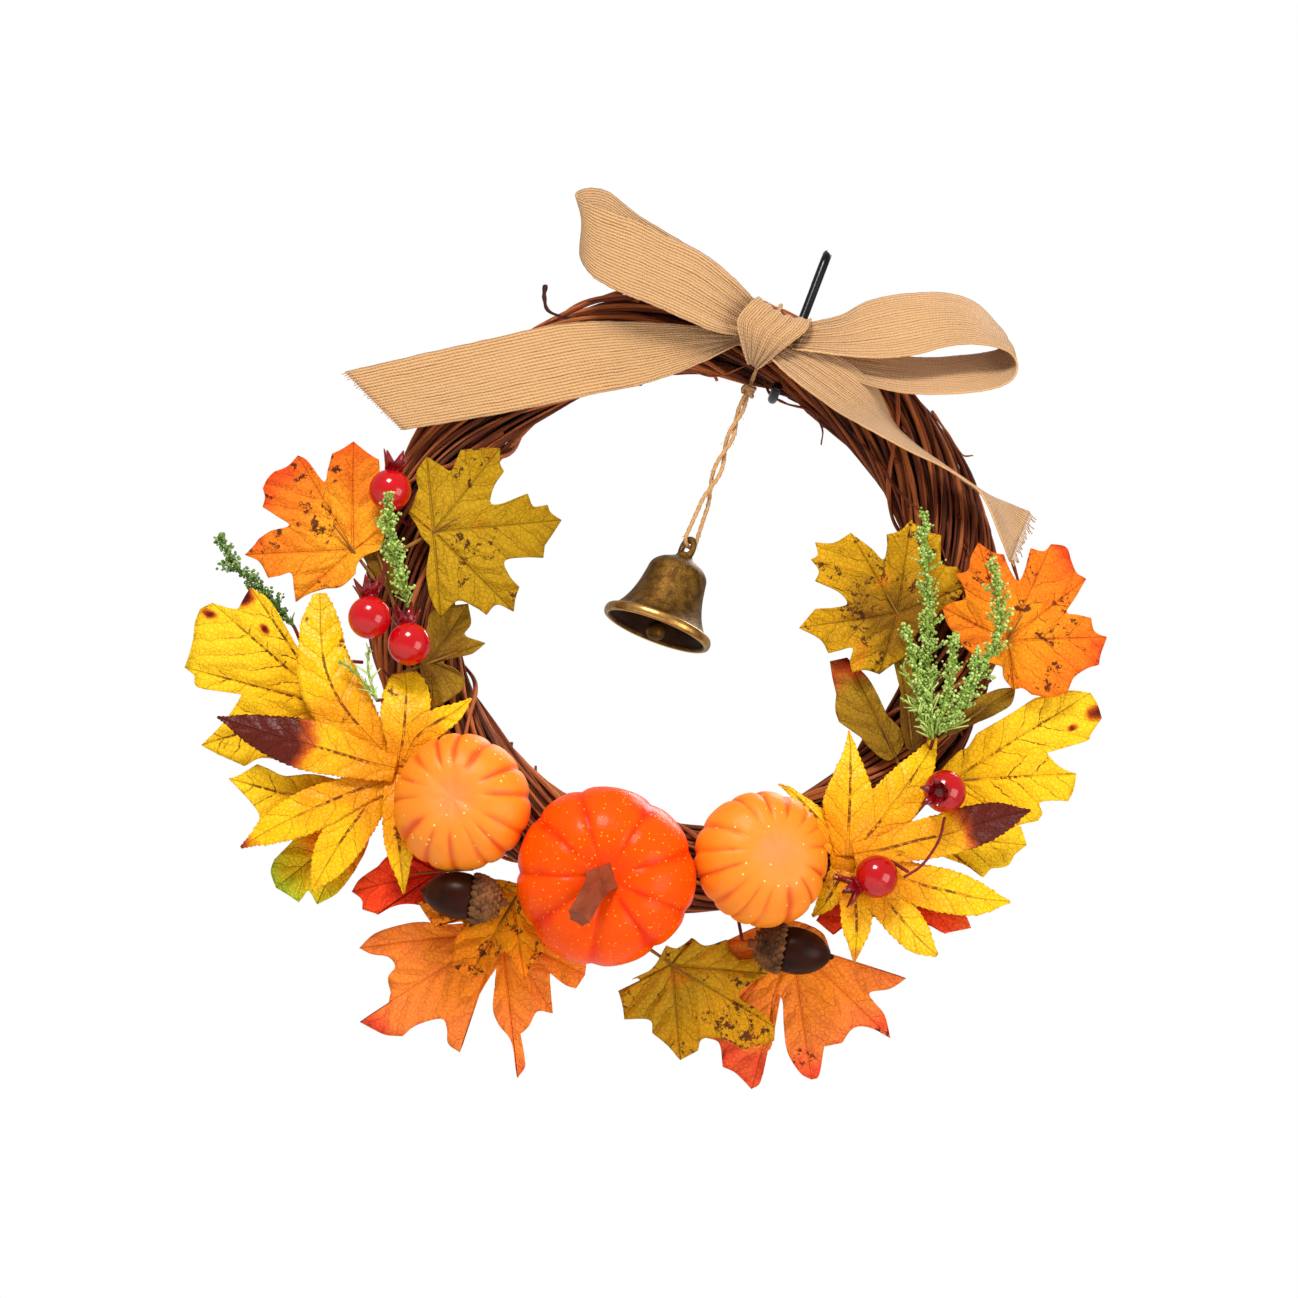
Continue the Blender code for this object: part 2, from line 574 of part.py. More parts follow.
def build_right_leaves():
    tips = [(45, 26), (68, 31), (92, 34), (99, 30), (137, 28), (159, 32), (178, 26), (212, 30),
            (233, 25), (258, 23), (285, 17)]
    add_leaf("leaf_olive_right", (61.5, 14.8), 2, tips, (325, 14), 0.5, OLIVE)
    tips = [(2, 30), (24, 31), (60, 33), (86, 34), (127, 32), (149, 26), (174, 23), (205, 16),
            (311, 18), (338, 22)]
    add_leaf("leaf_orange_right", (98.0, 19.0), 3, tips, (255, 12), 0.45, ORANGE)
    tips = [(354, 27), (12, 36), (27, 41), (44, 52), (57, 54), (68, 36)]
    add_leaf("leaf_yellow_right", (96.4, -27.9), 1, tips, (190, 10), 0.4, YELLOW)
    tips = [(350, 24), (8, 28), (20, 31)]
    add_leaf("leaf_gold_right", (96.5, -46.0), 0, tips, (180, 10), 0.3, YELLOW)
    tips = [(120, 20), (138, 37), (158, 22)]
    add_leaf("leaf_tip_right", (78.4, -29.6), 0, tips, (310, 10), 0.2, DULL_OLIVE)
    tips = [(100, 22), (117, 38), (132, 22)]
    add_leaf("leaf_strip_right", (82.4, -23.9), 1, tips, (300, 5), 0.2, DULL_OLIVE)
    tips = [(30, 12), (52, 20), (76, 12)]
    add_leaf("leaf_small_right", (93.7, -9.4), 0, tips, (240, 9), 0.2, DULL_OLIVE)
    tips = [(334, 41), (7, 53), (36, 60), (73, 49), (107, 40), (147, 30), (268, 17), (300, 31)]
    add_leaf("leaf_finger_right", (73.6, -63.8), 4, tips, (207, 5.7), 0.72, YELLOW)
    tips = [(240, 20), (300, 20), (345, 28), (4, 29)]
    add_leaf("leaf_red_right", (88.2, -69.3), 1, tips, (150, 10), 0.35, RED)
    tips = [(4, 38), (261, 40), (279, 46), (303, 42), (321, 35), (339, 43)]
    add_leaf("leaf_peach_right", (67.3, -92.0), 0, tips, (130, 16), 0.5, PEACH)
    tips = [(15, 24), (50, 17), (190, 17), (221, 23), (240, 25), (286, 28), (312, 26), (345, 32)]
    add_leaf("leaf_olive_bottom", (41.2, -110.6), 1, tips, (125, 14), 0.42, OLIVE)


# ---- greenery ----
def add_sprig(name, stops, thick):
    """The outer shape of a greenery sprig: a spindle that is knotted where its tufts sit."""
    points = smooth_path(stops, 5)
    last = len(points) - 1
    swell = []
    for index in range(last + 1):
        part = index / last
        swell.append((0.45 + 0.55 * math.sin(math.pi * (0.12 + 0.8 * part))) * (1.0 if index % 2 else 0.82))
    add_tube(name, placed(points), thick, GREEN, sides=6, swell=swell)


def build_sprigs():
    near = [(-97.5, -39.5, -12), (-91.5, -39.5, -20), (-84.5, -36, -29), (-80.0, -31, -35)]
    add_sprig("sprig_left", near, 6.4)
    far = [(-141, -14, -38.5), (-130, -13.5, -42), (-119, -13, -50), (-108, -13, -58)]
    add_sprig("sprig_far_left", far, 5.6)
    add_sprig("sprig_stalk_left", [(-91, -31.0, -64), (-84, -30, -66), (-76, -29.5, -71)], 2.6)
    add_sprig("sprig_right_1", [(59.5, -30, 45), (67, -31, 27), (75, -31, 5), (82, -30, -14)], 8.0)
    add_sprig("sprig_right_2", [(85, -31, 38), (91, -32, 22), (93.5, -32, 2), (91.5, -31, -14)], 7.4)


clear_scene()
build_ring()
build_hanger()
build_bow_knot()
build_bow_loops()
build_bow_tails()
build_twine()
build_bell()
build_clapper()
build_pumpkins()
build_fruit()
build_left_leaves()
build_right_leaves()
build_sprigs()
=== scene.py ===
import json
import math
import random

import bmesh
import bpy
from mathutils import Matrix, Vector


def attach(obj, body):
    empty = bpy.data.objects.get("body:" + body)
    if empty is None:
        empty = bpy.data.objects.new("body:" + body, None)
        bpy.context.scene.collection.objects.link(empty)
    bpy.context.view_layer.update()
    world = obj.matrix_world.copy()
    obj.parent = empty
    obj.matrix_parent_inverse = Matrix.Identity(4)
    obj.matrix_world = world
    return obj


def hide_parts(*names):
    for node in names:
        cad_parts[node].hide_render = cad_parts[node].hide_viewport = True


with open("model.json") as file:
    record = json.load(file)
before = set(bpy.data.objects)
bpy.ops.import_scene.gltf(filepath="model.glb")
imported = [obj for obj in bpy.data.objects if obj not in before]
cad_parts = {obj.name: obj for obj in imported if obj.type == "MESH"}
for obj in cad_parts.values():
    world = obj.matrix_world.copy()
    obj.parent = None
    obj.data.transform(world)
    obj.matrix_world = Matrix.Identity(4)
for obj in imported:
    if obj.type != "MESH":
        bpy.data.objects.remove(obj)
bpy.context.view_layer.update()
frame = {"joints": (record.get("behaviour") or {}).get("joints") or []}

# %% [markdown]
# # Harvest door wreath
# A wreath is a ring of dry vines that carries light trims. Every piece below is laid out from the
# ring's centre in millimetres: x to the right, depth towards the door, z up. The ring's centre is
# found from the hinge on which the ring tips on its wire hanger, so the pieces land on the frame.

tilt = next(joint for joint in frame["joints"] if joint["name"] == "wreath_tilt")
RING_CENTRE = Vector(tilt["pos_m"]) - Vector((0.0035, 0.0, 0.085929))
RING_RADIUS = 86.0
LAYER = [-16.3, -18.6, -20.9, -23.2, -25.5]


def at(x, depth, z):
    """A point given from the ring's centre in millimetres, in metres."""
    return RING_CENTRE + Vector((x, depth, z)) * 0.001


# %% [markdown]
# The wreath is seen a little from below, and it hangs turned: the camera is rolled instead of the
# object. A long lens from 1.2 m keeps the perspective calm. The camera's three axes are written as
# the columns of a matrix, which is easier to check than three angles.

# %% Camera
DISTANCE = 1.2
FIELD = 0.4076  # width of the view at the wreath
roll, lift = math.radians(21), math.radians(-12)
forward = Vector((0, math.cos(lift), -math.sin(lift)))
level_up = Vector((0, math.sin(lift), math.cos(lift)))
right = math.cos(roll) * Vector((1, 0, 0)) + math.sin(roll) * level_up
up = -math.sin(roll) * Vector((1, 0, 0)) + math.cos(roll) * level_up
target = RING_CENTRE - right * 0.0113 - up * 0.01633
eye = bpy.data.objects.new("camera", bpy.data.cameras.new("camera"))
bpy.context.collection.objects.link(eye)
eye.matrix_world = Matrix.Translation(target - forward * DISTANCE) @ Matrix(
    (right, up, -forward)).transposed().to_4x4()
eye.data.sensor_width = 36.0
eye.data.lens = 36.0 * DISTANCE / FIELD
bpy.context.scene.camera = eye
print("camera at", [round(value, 3) for value in eye.matrix_world.translation])

# %% [markdown]
# Small helpers for node trees. `node` adds a node and fills its sockets with values or links, so
# that a pattern can be read as a few nested calls.

# %% Node helpers


def node(tree, kind, inputs=None, **settings):
    made = tree.nodes.new(kind)
    for key, value in settings.items():
        setattr(made, key, value)
    for key, value in (inputs or {}).items():
        if isinstance(value, bpy.types.NodeSocket):
            tree.links.new(value, made.inputs[key])
        else:
            made.inputs[key].default_value = value
    return made


def maths(operation, first, second=0.5):
    """One sum. Like the helpers below, it goes into the tree that its sockets belong to."""
    tree = (first if isinstance(first, bpy.types.NodeSocket) else second).id_data
    return node(tree, "ShaderNodeMath", {0: first, 1: second}, operation=operation).outputs[0]


def plus(first, second):
    return maths("ADD", first, second)


def minus(first, second):
    return maths("SUBTRACT", first, second)


def times(first, second):
    return maths("MULTIPLY", first, second)


def mixed(share, first, second):
    """The colour first where share is 0 and second where it is 1."""
    inputs = {0: share, 6: first, 7: second}
    return node(share.id_data, "ShaderNodeMix", inputs, data_type="RGBA").outputs[2]


def step_between(value, low, high):
    """0 below low, 1 above high and smooth between them."""
    inputs = {"Value": value, "From Min": low, "From Max": high}
    return node(value.id_data, "ShaderNodeMapRange", inputs, interpolation_type="SMOOTHSTEP").outputs[0]


def clouds(coords, scale, detail=3.0, roughness=0.55):
    inputs = {"Vector": coords, "Scale": scale, "Detail": detail, "Roughness": roughness}
    return node(coords.id_data, "ShaderNodeTexNoise", inputs).outputs["Fac"]


def stretched_clouds(coords, stretch, detail, roughness=0.55):
    inputs = {"Vector": coords, "Scale": stretch}
    return clouds(node(coords.id_data, "ShaderNodeMapping", inputs).outputs[0], 1.0, detail, roughness)


def object_place(tree):
    return node(tree, "ShaderNodeTexCoord").outputs["Object"]


def uv_place(tree, name):
    return node(tree, "ShaderNodeUVMap", uv_map=name).outputs[0]


def attribute(tree, name):
    return node(tree, "ShaderNodeAttribute", attribute_name=name).outputs["Fac"]


def tint(red, green, blue):
    """A display colour from 0 to 255 as the linear colour that sockets expect."""
    return (*(((value / 255 + 0.055) / 1.055) ** 2.4 for value in (red, green, blue)), 1.0)


def effect(name, sockets):
    """A node group with named inputs and the outputs Color, Height and Rough."""
    group = bpy.data.node_groups.new(name, "ShaderNodeTree")
    for label, value in sockets.items():
        kind = "NodeSocketColor" if isinstance(value, tuple) else "NodeSocketFloat"
        socket = group.interface.new_socket(label, in_out="INPUT", socket_type=kind)
        socket.default_value = value
    for label, kind in (("Color", "Color"), ("Height", "Float"), ("Rough", "Float")):
        group.interface.new_socket(label, in_out="OUTPUT", socket_type="NodeSocket" + kind)
    return group, group.nodes.new("NodeGroupInput").outputs


def put_out(colour, height, rough):
    inputs = {"Color": colour, "Height": height, "Rough": rough}
    node(colour.id_data, "NodeGroupOutput", inputs)


def finish(name, group, values, bump=0.0004, **shader):
    """A material that takes its colour, relief and roughness from an effect group."""
    material = bpy.data.materials.new(name)
    material.use_nodes = True
    tree = material.node_tree
    surface = tree.nodes["Principled BSDF"]
    pattern = node(tree, "ShaderNodeGroup", node_tree=group)
    for label, value in values.items():
        pattern.inputs[label].default_value = value
    relief = node(tree, "ShaderNodeBump", {"Height": pattern.outputs["Height"], "Distance": bump})
    tree.links.new(pattern.outputs["Color"], surface.inputs["Base Color"])
    tree.links.new(pattern.outputs["Rough"], surface.inputs["Roughness"])
    tree.links.new(relief.outputs[0], surface.inputs["Normal"])
    for label, value in {"Specular_IOR_Level": 0.2, **shader}.items():
        surface.inputs[label.replace("_", " ")].default_value = value
    return material


print("node helpers ready")

# %% [markdown]
# Soft studio light: a large key from the upper left, a weaker fill from the right and a strip from
# above and behind that draws a bright edge. The world is white behind the wreath and dimmer as a
# lamp, and a pale floor lies below.

# %% Light, background and floor


def area_light(name, place, size, power):
    lamp = bpy.data.lights.new(name, "AREA")
    lamp.size = size
    lamp.energy = power
    obj = bpy.data.objects.new(name, lamp)
    obj.location = RING_CENTRE + Vector(place)
    obj.rotation_euler = (-Vector(place)).to_track_quat("-Z", "Y").to_euler()
    bpy.context.collection.objects.link(obj)


area_light("key", (-0.55, -1.0, 0.75), 0.4, 16.5)
area_light("fill", (0.95, -0.85, 0.0), 0.8, 8.0)
area_light("edge", (0.2, 0.75, 0.9), 0.6, 7.0)
bpy.context.scene.view_settings.view_transform = "Standard"
world = bpy.data.worlds.new("studio")
bpy.context.scene.world = world
world.use_nodes = True
sky = world.node_tree
sky.nodes.clear()
shown = node(sky, "ShaderNodeBackground", {"Color": (1, 1, 1, 1)})
lamp = node(sky, "ShaderNodeBackground", {"Color": (0.95, 0.97, 1, 1), "Strength": 0.46})
seen = node(sky, "ShaderNodeLightPath").outputs["Is Camera Ray"]
either = node(sky, "ShaderNodeMixShader", {0: seen, 1: lamp.outputs[0], 2: shown.outputs[0]})
node(sky, "ShaderNodeOutputWorld", {0: either.outputs[0]})
ground = bmesh.new()
bmesh.ops.create_grid(ground, x_segments=1, y_segments=1, size=3.0)
bmesh.ops.translate(ground, verts=ground.verts, vec=(0, 0, -0.75))
floor_mesh = bpy.data.meshes.new("floor")
ground.to_mesh(floor_mesh)
floor = bpy.data.objects.new("floor", floor_mesh)
pale = bpy.data.materials.new("pale floor")
pale.use_nodes = True
matt = pale.node_tree.nodes["Principled BSDF"].inputs
matt["Base Color"].default_value = (0.86, 0.86, 0.85, 1)
matt["Roughness"].default_value = 0.9
floor_mesh.materials.append(pale)
bpy.context.collection.objects.link(floor)
print("studio ready")

# %% [markdown]
# Most surfaces share a few effects. **Grain** is the plain one: clouds of two sizes that vary the
# colour and roughen the surface. **Bark** draws long streaks, so it reads the UV map that runs
# along each vine. Each vine carries a tone in an attribute: its own random tone, plus painted
# shade that darkens the strands deep in the bundle and lightens those on its outside.

# %% Grain and bark
grain, given = effect("grain", {
    "Main": (0.5, 0.3, 0.2, 1), "Shade": (0.2, 0.1, 0.1, 1), "Scale": 300.0, "Strength": 0.5,
    "Roughness": 0.5})
place = object_place(grain)
fine = clouds(place, given["Scale"], 4)
wide = clouds(place, times(given["Scale"], 0.2), 2)
share = times(step_between(wide, 0.35, 0.7), given["Strength"])
tone = mixed(share, given["Main"], given["Shade"])
tone = mixed(times(step_between(fine, 0.45, 0.75), given["Strength"]), tone, given["Shade"])
put_out(tone, fine, plus(given["Roughness"], times(fine, 0.15)))


def grained(name, main, shade, scale, roughness, bump, strength=0.5, **shader):
    """A finish made by the grain effect from two display colours."""
    return finish(name, grain, {"Main": tint(*main), "Shade": tint(*shade), "Scale": scale,
                                "Strength": strength, "Roughness": roughness}, bump, **shader)


bark, given = effect("bark", {
    "Dark": tint(36, 14, 8), "Mid": tint(124, 58, 28), "Light": tint(190, 104, 52)})
along = uv_place(bark, "run")
streaks = stretched_clouds(along, (60, 2600, 1), 4, 0.6)
patches = stretched_clouds(along, (45, 120, 1), 2)
rings = stretched_clouds(along, (900, 150, 1), 2)
level = plus(times(attribute(bark, "tone"), 0.8), times(patches, 0.8))
tone = mixed(step_between(level, 0.3, 0.85), given["Dark"], given["Mid"])
tone = mixed(step_between(level, 0.7, 1.15), tone, given["Light"])
tone = mixed(times(step_between(streaks, 0.5, 0.7), 0.7), tone, given["Dark"])
put_out(tone, plus(streaks, times(rings, 0.35)), plus(0.5, times(streaks, 0.35)))
bark_brown = finish("vine bark", bark, {}, 0.0005)
bark_thin = finish("thin vine", bark, {"Mid": tint(116, 48, 26), "Dark": tint(58, 24, 14)})
print("bark ready")

# %% [markdown]
# Every piece ends the same way: its normals are made to point outwards, it becomes a mesh whose
# place is in its points, it is told which moving body it rides on, and the frame parts it stands
# for are hidden.

# %% Keeping a piece


def keep(bm, name, material, nodes=(), body="wreath", turn_out=True):
    if turn_out:
        bmesh.ops.recalc_face_normals(bm, faces=bm.faces)
    mesh = bpy.data.meshes.new(name)
    bm.to_mesh(mesh)
    bm.free()
    mesh.shade_smooth()
    mesh.materials.append(material)
    obj = bpy.data.objects.new(name, mesh)
    bpy.context.collection.objects.link(obj)
    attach(obj, body)
    if nodes:
        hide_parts(*nodes)
    print(f"{name}: {len(mesh.polygons)} faces")
    return obj


# %% [markdown]
# Vines, twine, wires and stems are all round runs along a curve. `curve_through` makes a smooth
# line through a few stops. `sweep` wraps a flat grid round such a line: the grid's length follows
# the line and its width goes round it, then the seam is merged and the ends are filled. The grid
# brings a UV map, so bark and thread patterns run along the piece.

# %% Curves and sweeps


def curve_through(stops, steps):
    stops = [Vector(stop) for stop in stops]
    padded = [2 * stops[0] - stops[1], *stops, 2 * stops[-1] - stops[-2]]
    points = []
    for a, b, c, d in zip(padded, padded[1:], padded[2:], padded[3:]):
        for step in range(steps):
            t = step / steps
            bend = (2 * a - 5 * b + 4 * c - d) * t**2 + (3 * b - a - 3 * c + d) * t**3
            points.append((2 * b + (c - a) * t + bend) / 2)
    return [*points, stops[-1]]


def layer_named(layers, name):
    return layers.get(name) or layers.new(name)


def grid_step(vert, count):
    """Which of a fresh grid's steps a point is on, from 0 to count."""
    return round((vert.co.x + 1) / 2 * count)


def side_frames(path, closed):
    """Two directions across the path at each point, carried along without twisting."""
    frames = []
    side = None
    for index in range(len(path)):
        after = path[(index + 1) % len(path)] if closed else path[min(index + 1, len(path) - 1)]
        before = path[index - 1] if closed else path[max(index - 1, 0)]
        heading = (after - before).normalized()
        side = heading.orthogonal() if side is None else side - heading * side.dot(heading)
        side.normalize()
        frames.append((side.copy(), heading.cross(side)))
    return frames


def sweep(bm, path, radius, sides=8, closed=False, tone=0.5):
    """A tube in bm. radius is a number or takes a point's number and an angle; tone may vary too."""
    uv = layer_named(bm.loops.layers.uv, "run")
    own = layer_named(bm.verts.layers.float, "tone")
    count = len(path) + (1 if closed else 0)
    frames = side_frames(path, closed)
    lengths = [0.0]
    for index in range(1, count):
        lengths.append(lengths[-1] + (path[index % len(path)] - path[index - 1]).length)
    made = bmesh.ops.create_grid(bm, x_segments=count - 1, y_segments=sides, size=1.0,
                                 calc_uvs=True)["verts"]
    faces = {face for vert in made for face in vert.link_faces}
    girth = radius if isinstance(radius, float) else radius(len(path) // 2, 0.0)
    for face in faces:
        for loop in face.loops:
            place = lengths[grid_step(loop.vert, count - 1)]
            loop[uv].uv = (place, (loop.vert.co.y + 1) * math.pi * girth)
    for vert in made:
        index = grid_step(vert, count - 1)
        angle = (vert.co.y + 1) * math.pi
        reach = radius if isinstance(radius, float) else radius(index, angle)
        first, second = frames[index % len(path)]
        vert[own] = tone if isinstance(tone, float) else tone(index)
        vert.co = path[index % len(path)] + reach * (
            first * math.cos(angle) + second * math.sin(angle))
    bmesh.ops.remove_doubles(bm, verts=made, dist=1e-7)
    made = [vert for vert in made if vert.is_valid]
    if not closed:
        rims = {edge for vert in made for edge in vert.link_edges if edge.is_boundary}
        bmesh.ops.holes_fill(bm, edges=list(rims), sides=0)


print("sweeps ready")


# %% [markdown]
# The bell hangs on doubled jute twine. The cord is one length: down from its knot under the ring,
# through the bell's eye and back up. The two runs lie round each other near the knot and part
# above the bell. Each run is two plies twisted together, so the section is a rounded figure of
# eight that turns along the run.

# %% Twine
TWINE_X, TWINE_Y = -4.7, -4.0
TWINE_THICK = 0.0013
TWINE_TOP, TWINE_LOW = 65.3, 17.15
BELL_BEND = 2.6
SWING = math.radians(45)

weave, given = effect("jute", {
    "Thread": tint(224, 170, 112), "Gap": tint(104, 58, 22), "Pitch": 0.00105, "Cross": 0.0009})
cloth = uv_place(weave, "run")
apart = node(weave, "ShaderNodeSeparateXYZ", {0: cloth}).outputs
waver = times(clouds(cloth, 140.0, 2), 0.0009)


def thread_wave(position, pitch):
    turns = maths("DIVIDE", plus(position, waver), pitch)
    return maths("ABSOLUTE", maths("SINE", times(turns, math.pi)))


lengthwise = thread_wave(apart[1], given["Pitch"])
crosswise = thread_wave(apart[0], given["Cross"])
fibres = stretched_clouds(cloth, (700, 4200, 1), 3, 0.7)
body = plus(times(lengthwise, 0.75), times(crosswise, 0.25))
blotches = stretched_clouds(cloth, (55, 700, 1), 3, 0.6)
open_gaps = times(step_between(blotches, 0.5, 0.66), step_between(lengthwise, 0.5, 0.1))
tone = mixed(times(step_between(body, 0.7, 0.2), 0.3), given["Thread"], given["Gap"])
tone = mixed(times(open_gaps, 0.85), tone, given["Gap"])
tone = mixed(times(step_between(fibres, 0.5, 0.72), 0.4), tone, tint(244, 204, 158))
put_out(tone, plus(body, times(fibres, 0.5)), 0.9)
burlap = finish("burlap", weave, {}, 0.0006, Sheen_Weight=0.25)
jute_twine = finish("jute twine", weave, {"Pitch": 0.0005, "Cross": 0.0012}, 0.0003)


def run_length(line):
    return sum((b - a).length for a, b in zip(line, line[1:]))


def twine_point(offset, z, turn=SWING):
    return at(TWINE_X + offset * math.cos(turn), TWINE_Y + offset * math.sin(turn), z)


def twine_run(part, side):
    """A point on one run: part goes from 0 at the knot to 1 above the bell."""
    z = TWINE_TOP + (TWINE_LOW - TWINE_TOP) * part
    offset = side * (0.75 + (BELL_BEND - 0.75) * part**2.2)
    return twine_point(offset, z, SWING + math.tau * 1.5 * max(0.0, 1 - part * 1.35) ** 1.3)


stops = [twine_run(step / 24, 1) for step in range(24)]
stops += [twine_point(BELL_BEND * math.cos(math.pi * step / 8),
                      TWINE_LOW - BELL_BEND * math.sin(math.pi * step / 8)) for step in range(9)]
stops += [twine_run(1 - step / 24, -1) for step in range(1, 25)]
twine_path = curve_through(stops, 6)
twine_length = run_length(twine_path)


def two_plies(index, angle):
    turn = index * 0.42
    return TWINE_THICK * (0.40 + 0.14 * abs(math.cos(angle - turn)))


twine_bm = bmesh.new()
sweep(twine_bm, twine_path, two_plies, sides=12)
twine = keep(twine_bm, "bell_twine", jute_twine, ["twine"], "twine")
chance = random.Random(4)
fuzz = bmesh.new()
for _ in range(46):
    root = chance.choice(twine_path)
    lean = Vector((chance.uniform(-1, 1), chance.uniform(-1, 1), chance.uniform(-1.2, 0.6)))
    end = root + lean * 0.0016 + Vector((0, 0, -0.0006))
    sweep(fuzz, curve_through([root, root + lean * 0.0009, end], 3), 0.00007, sides=4)
fuzz = keep(fuzz, "twine_fibres", jute_twine, (), "twine")
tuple(twine_path[0])
print("twine length", round(twine_length, 4))

# %% [markdown]
# The twine goes once round the vine bundle and is knotted below it. The loop is a closed sweep, and
# the knot is three short tight turns laid over each other.

# %% Twine loop and knot
TWINE_LOOP_R = 13.95


def ring_run(count, place):
    """The points of a closed run, where place gives the point at an angle."""
    return [place(math.tau * step / count) for step in range(count)]


ring_z = math.sqrt(RING_RADIUS**2 - TWINE_X**2)
loop_bm = bmesh.new()
loop_path = ring_run(90, lambda a: at(
    TWINE_X, -TWINE_LOOP_R * math.cos(a), ring_z + TWINE_LOOP_R * math.sin(a)))
sweep(loop_bm, loop_path, two_plies, sides=10, closed=True)
keep(loop_bm, "twine_round_ring", jute_twine, ["twine_loop"])
knot_bm = bmesh.new()
middle = Vector((TWINE_X, TWINE_Y, ring_z - math.sqrt(TWINE_LOOP_R**2 - TWINE_Y**2) - 3.5))
for lean, spread, height in ((0.5, 1.7, 0.5), (-0.45, 1.8, -0.5), (0.1, 1.5, 0.0)):
    def knot_turn(a):
        x, y = spread * math.cos(a), spread * 0.9 * math.sin(a)
        return at(middle.x + x, middle.y + y, middle.z + height + lean * x + 0.5 * math.sin(2 * a))

    sweep(knot_bm, ring_run(28, knot_turn), two_plies, sides=10, closed=True)
for side in (1, -1):
    tie = [twine_run(0, side), twine_run(0, side) + Vector((0, 0, 0.0012)),
           at(middle.x + side * 0.4, middle.y, middle.z), at(middle.x, middle.y, middle.z + 2.4)]
    sweep(knot_bm, curve_through(tie, 4), 0.0006, sides=8)
keep(knot_bm, "twine_tie", jute_twine, ["twine_knot"], "twine_knot")

# %% [markdown]
# The ring is a bundle of dry grapevines. Each cane of the frame stands for a group of thinner
# vines, so each is rebuilt as eleven strands that follow the cane's route, wander about its middle and
# change their thickness, with small knots where leaves once grew. A strand's ends are lifted out of
# the bundle a little, as cut ends are.

# %% Vine bundle
TWISTS, LAPS, STATIONS, STRANDS = 2, 3, 150, 11


def on_bundle(clock, radius, turn):
    """A point round the bundle's middle line. clock runs clockwise from the top."""
    reach = RING_RADIUS + radius * math.cos(turn)
    return at(reach * math.sin(clock), -radius * math.sin(turn), reach * math.cos(clock))


def vine_strand(bm, radius, slots, slot, number, thick, chance):
    twist = TWISTS + 1 / slots
    phases = [chance.uniform(0, math.tau) for _ in range(6)]
    start = chance.uniform(0.0, 0.55)
    stations = int(STATIONS * (LAPS - chance.uniform(0.0, 0.3)))
    knots = sorted(chance.uniform(0, stations) for _ in range(stations // 9))
    path, tones_with_painted_shade = [], []
    # painted shade: the strands of the inner core are made darker by 0.45, on top of each strand's random
    # tone
    own_tone_and_core_shade = chance.uniform(0.0, 1.0) ** 1.3 - (0.45 if radius < 8 else 0.0)
    for station in range(stations):
        clock = start + math.tau * station / STATIONS
        lift = 0.6 * math.sin(1.7 * clock + phases[0]) + 0.5 * math.sin(4.3 * clock + phases[1])
        end = max(0.0, 1 - station / 9) ** 2 + max(0.0, 1 - (stations - 1 - station) / 9) ** 2
        group = math.tau * number / STRANDS + 0.7 * clock + 0.5 * math.sin(2.9 * clock + phases[2])
        out = radius + 2.1 * math.cos(group) + lift + 2.2 * end
        by_wire = math.remainder(clock - 0.04, math.tau)
        out = min(out, 12.0 + 70 * by_wire**2)  # drawn in where the wire hanger passes
        # painted shade and light: a strand is darker where it runs near the bundle's middle and lighter
        # where it runs on its outside
        tones_with_painted_shade.append(own_tone_and_core_shade + 0.32 * math.cos(group) - 0.12)
        aside = 2.3 * math.sin(group) + 0.9 * math.sin(3.1 * clock + phases[3])
        turn = math.tau * slot / slots + twist * clock + aside / max(radius, 5.0)
        path.append(on_bundle(clock, out, turn))
    widths = []
    for station in range(stations):
        knot = max(math.exp(-((station - place) / 1.1) ** 2) for place in knots)
        slow = 1 + 0.13 * math.sin(station * 0.05 + phases[4]) + 0.05 * math.sin(station * 0.31)
        widths.append(thick * slow * (1 + 0.38 * knot))
    faces = chance.uniform(0, math.tau)

    def girth(index, angle):
        return 0.001 * widths[index % stations] * (1 + 0.09 * math.cos(3 * angle + faces))

    sweep(bm, path, girth, sides=7, tone=lambda index: tones_with_painted_shade[index % stations])


chance = random.Random(11)
for cane in range(4):
    bundle = bmesh.new()
    for number in range(STRANDS):
        vine_strand(bundle, 10.6, 12, cane * 3, number, chance.uniform(0.42, 0.8), chance)
    keep(bundle, f"vines_{cane + 1}", bark_brown, [f"vine_cane_{cane + 1}"])
bundle = bmesh.new()
for number in range(4):
    vine_strand(bundle, 4.6, 3, 0, number * 2.75, chance.uniform(0.9, 1.3), chance)
keep(bundle, "vines_inside", bark_brown, ["vine_core"])

# %% [markdown]
# A thin vine binds the bundle in a long spiral, and stray tendrils spring from it: short curls
# under the bow, loose ends on the left shoulder, and thin straight canes that cut across the inner
# side of the ring at the lower left. Short broken twigs stand out all round.

# %% Binding vine and tendrils


def placed_curve(stops, steps):
    """A smooth line through stops in ring millimetres."""
    return [at(*point) for point in curve_through(stops, steps)]


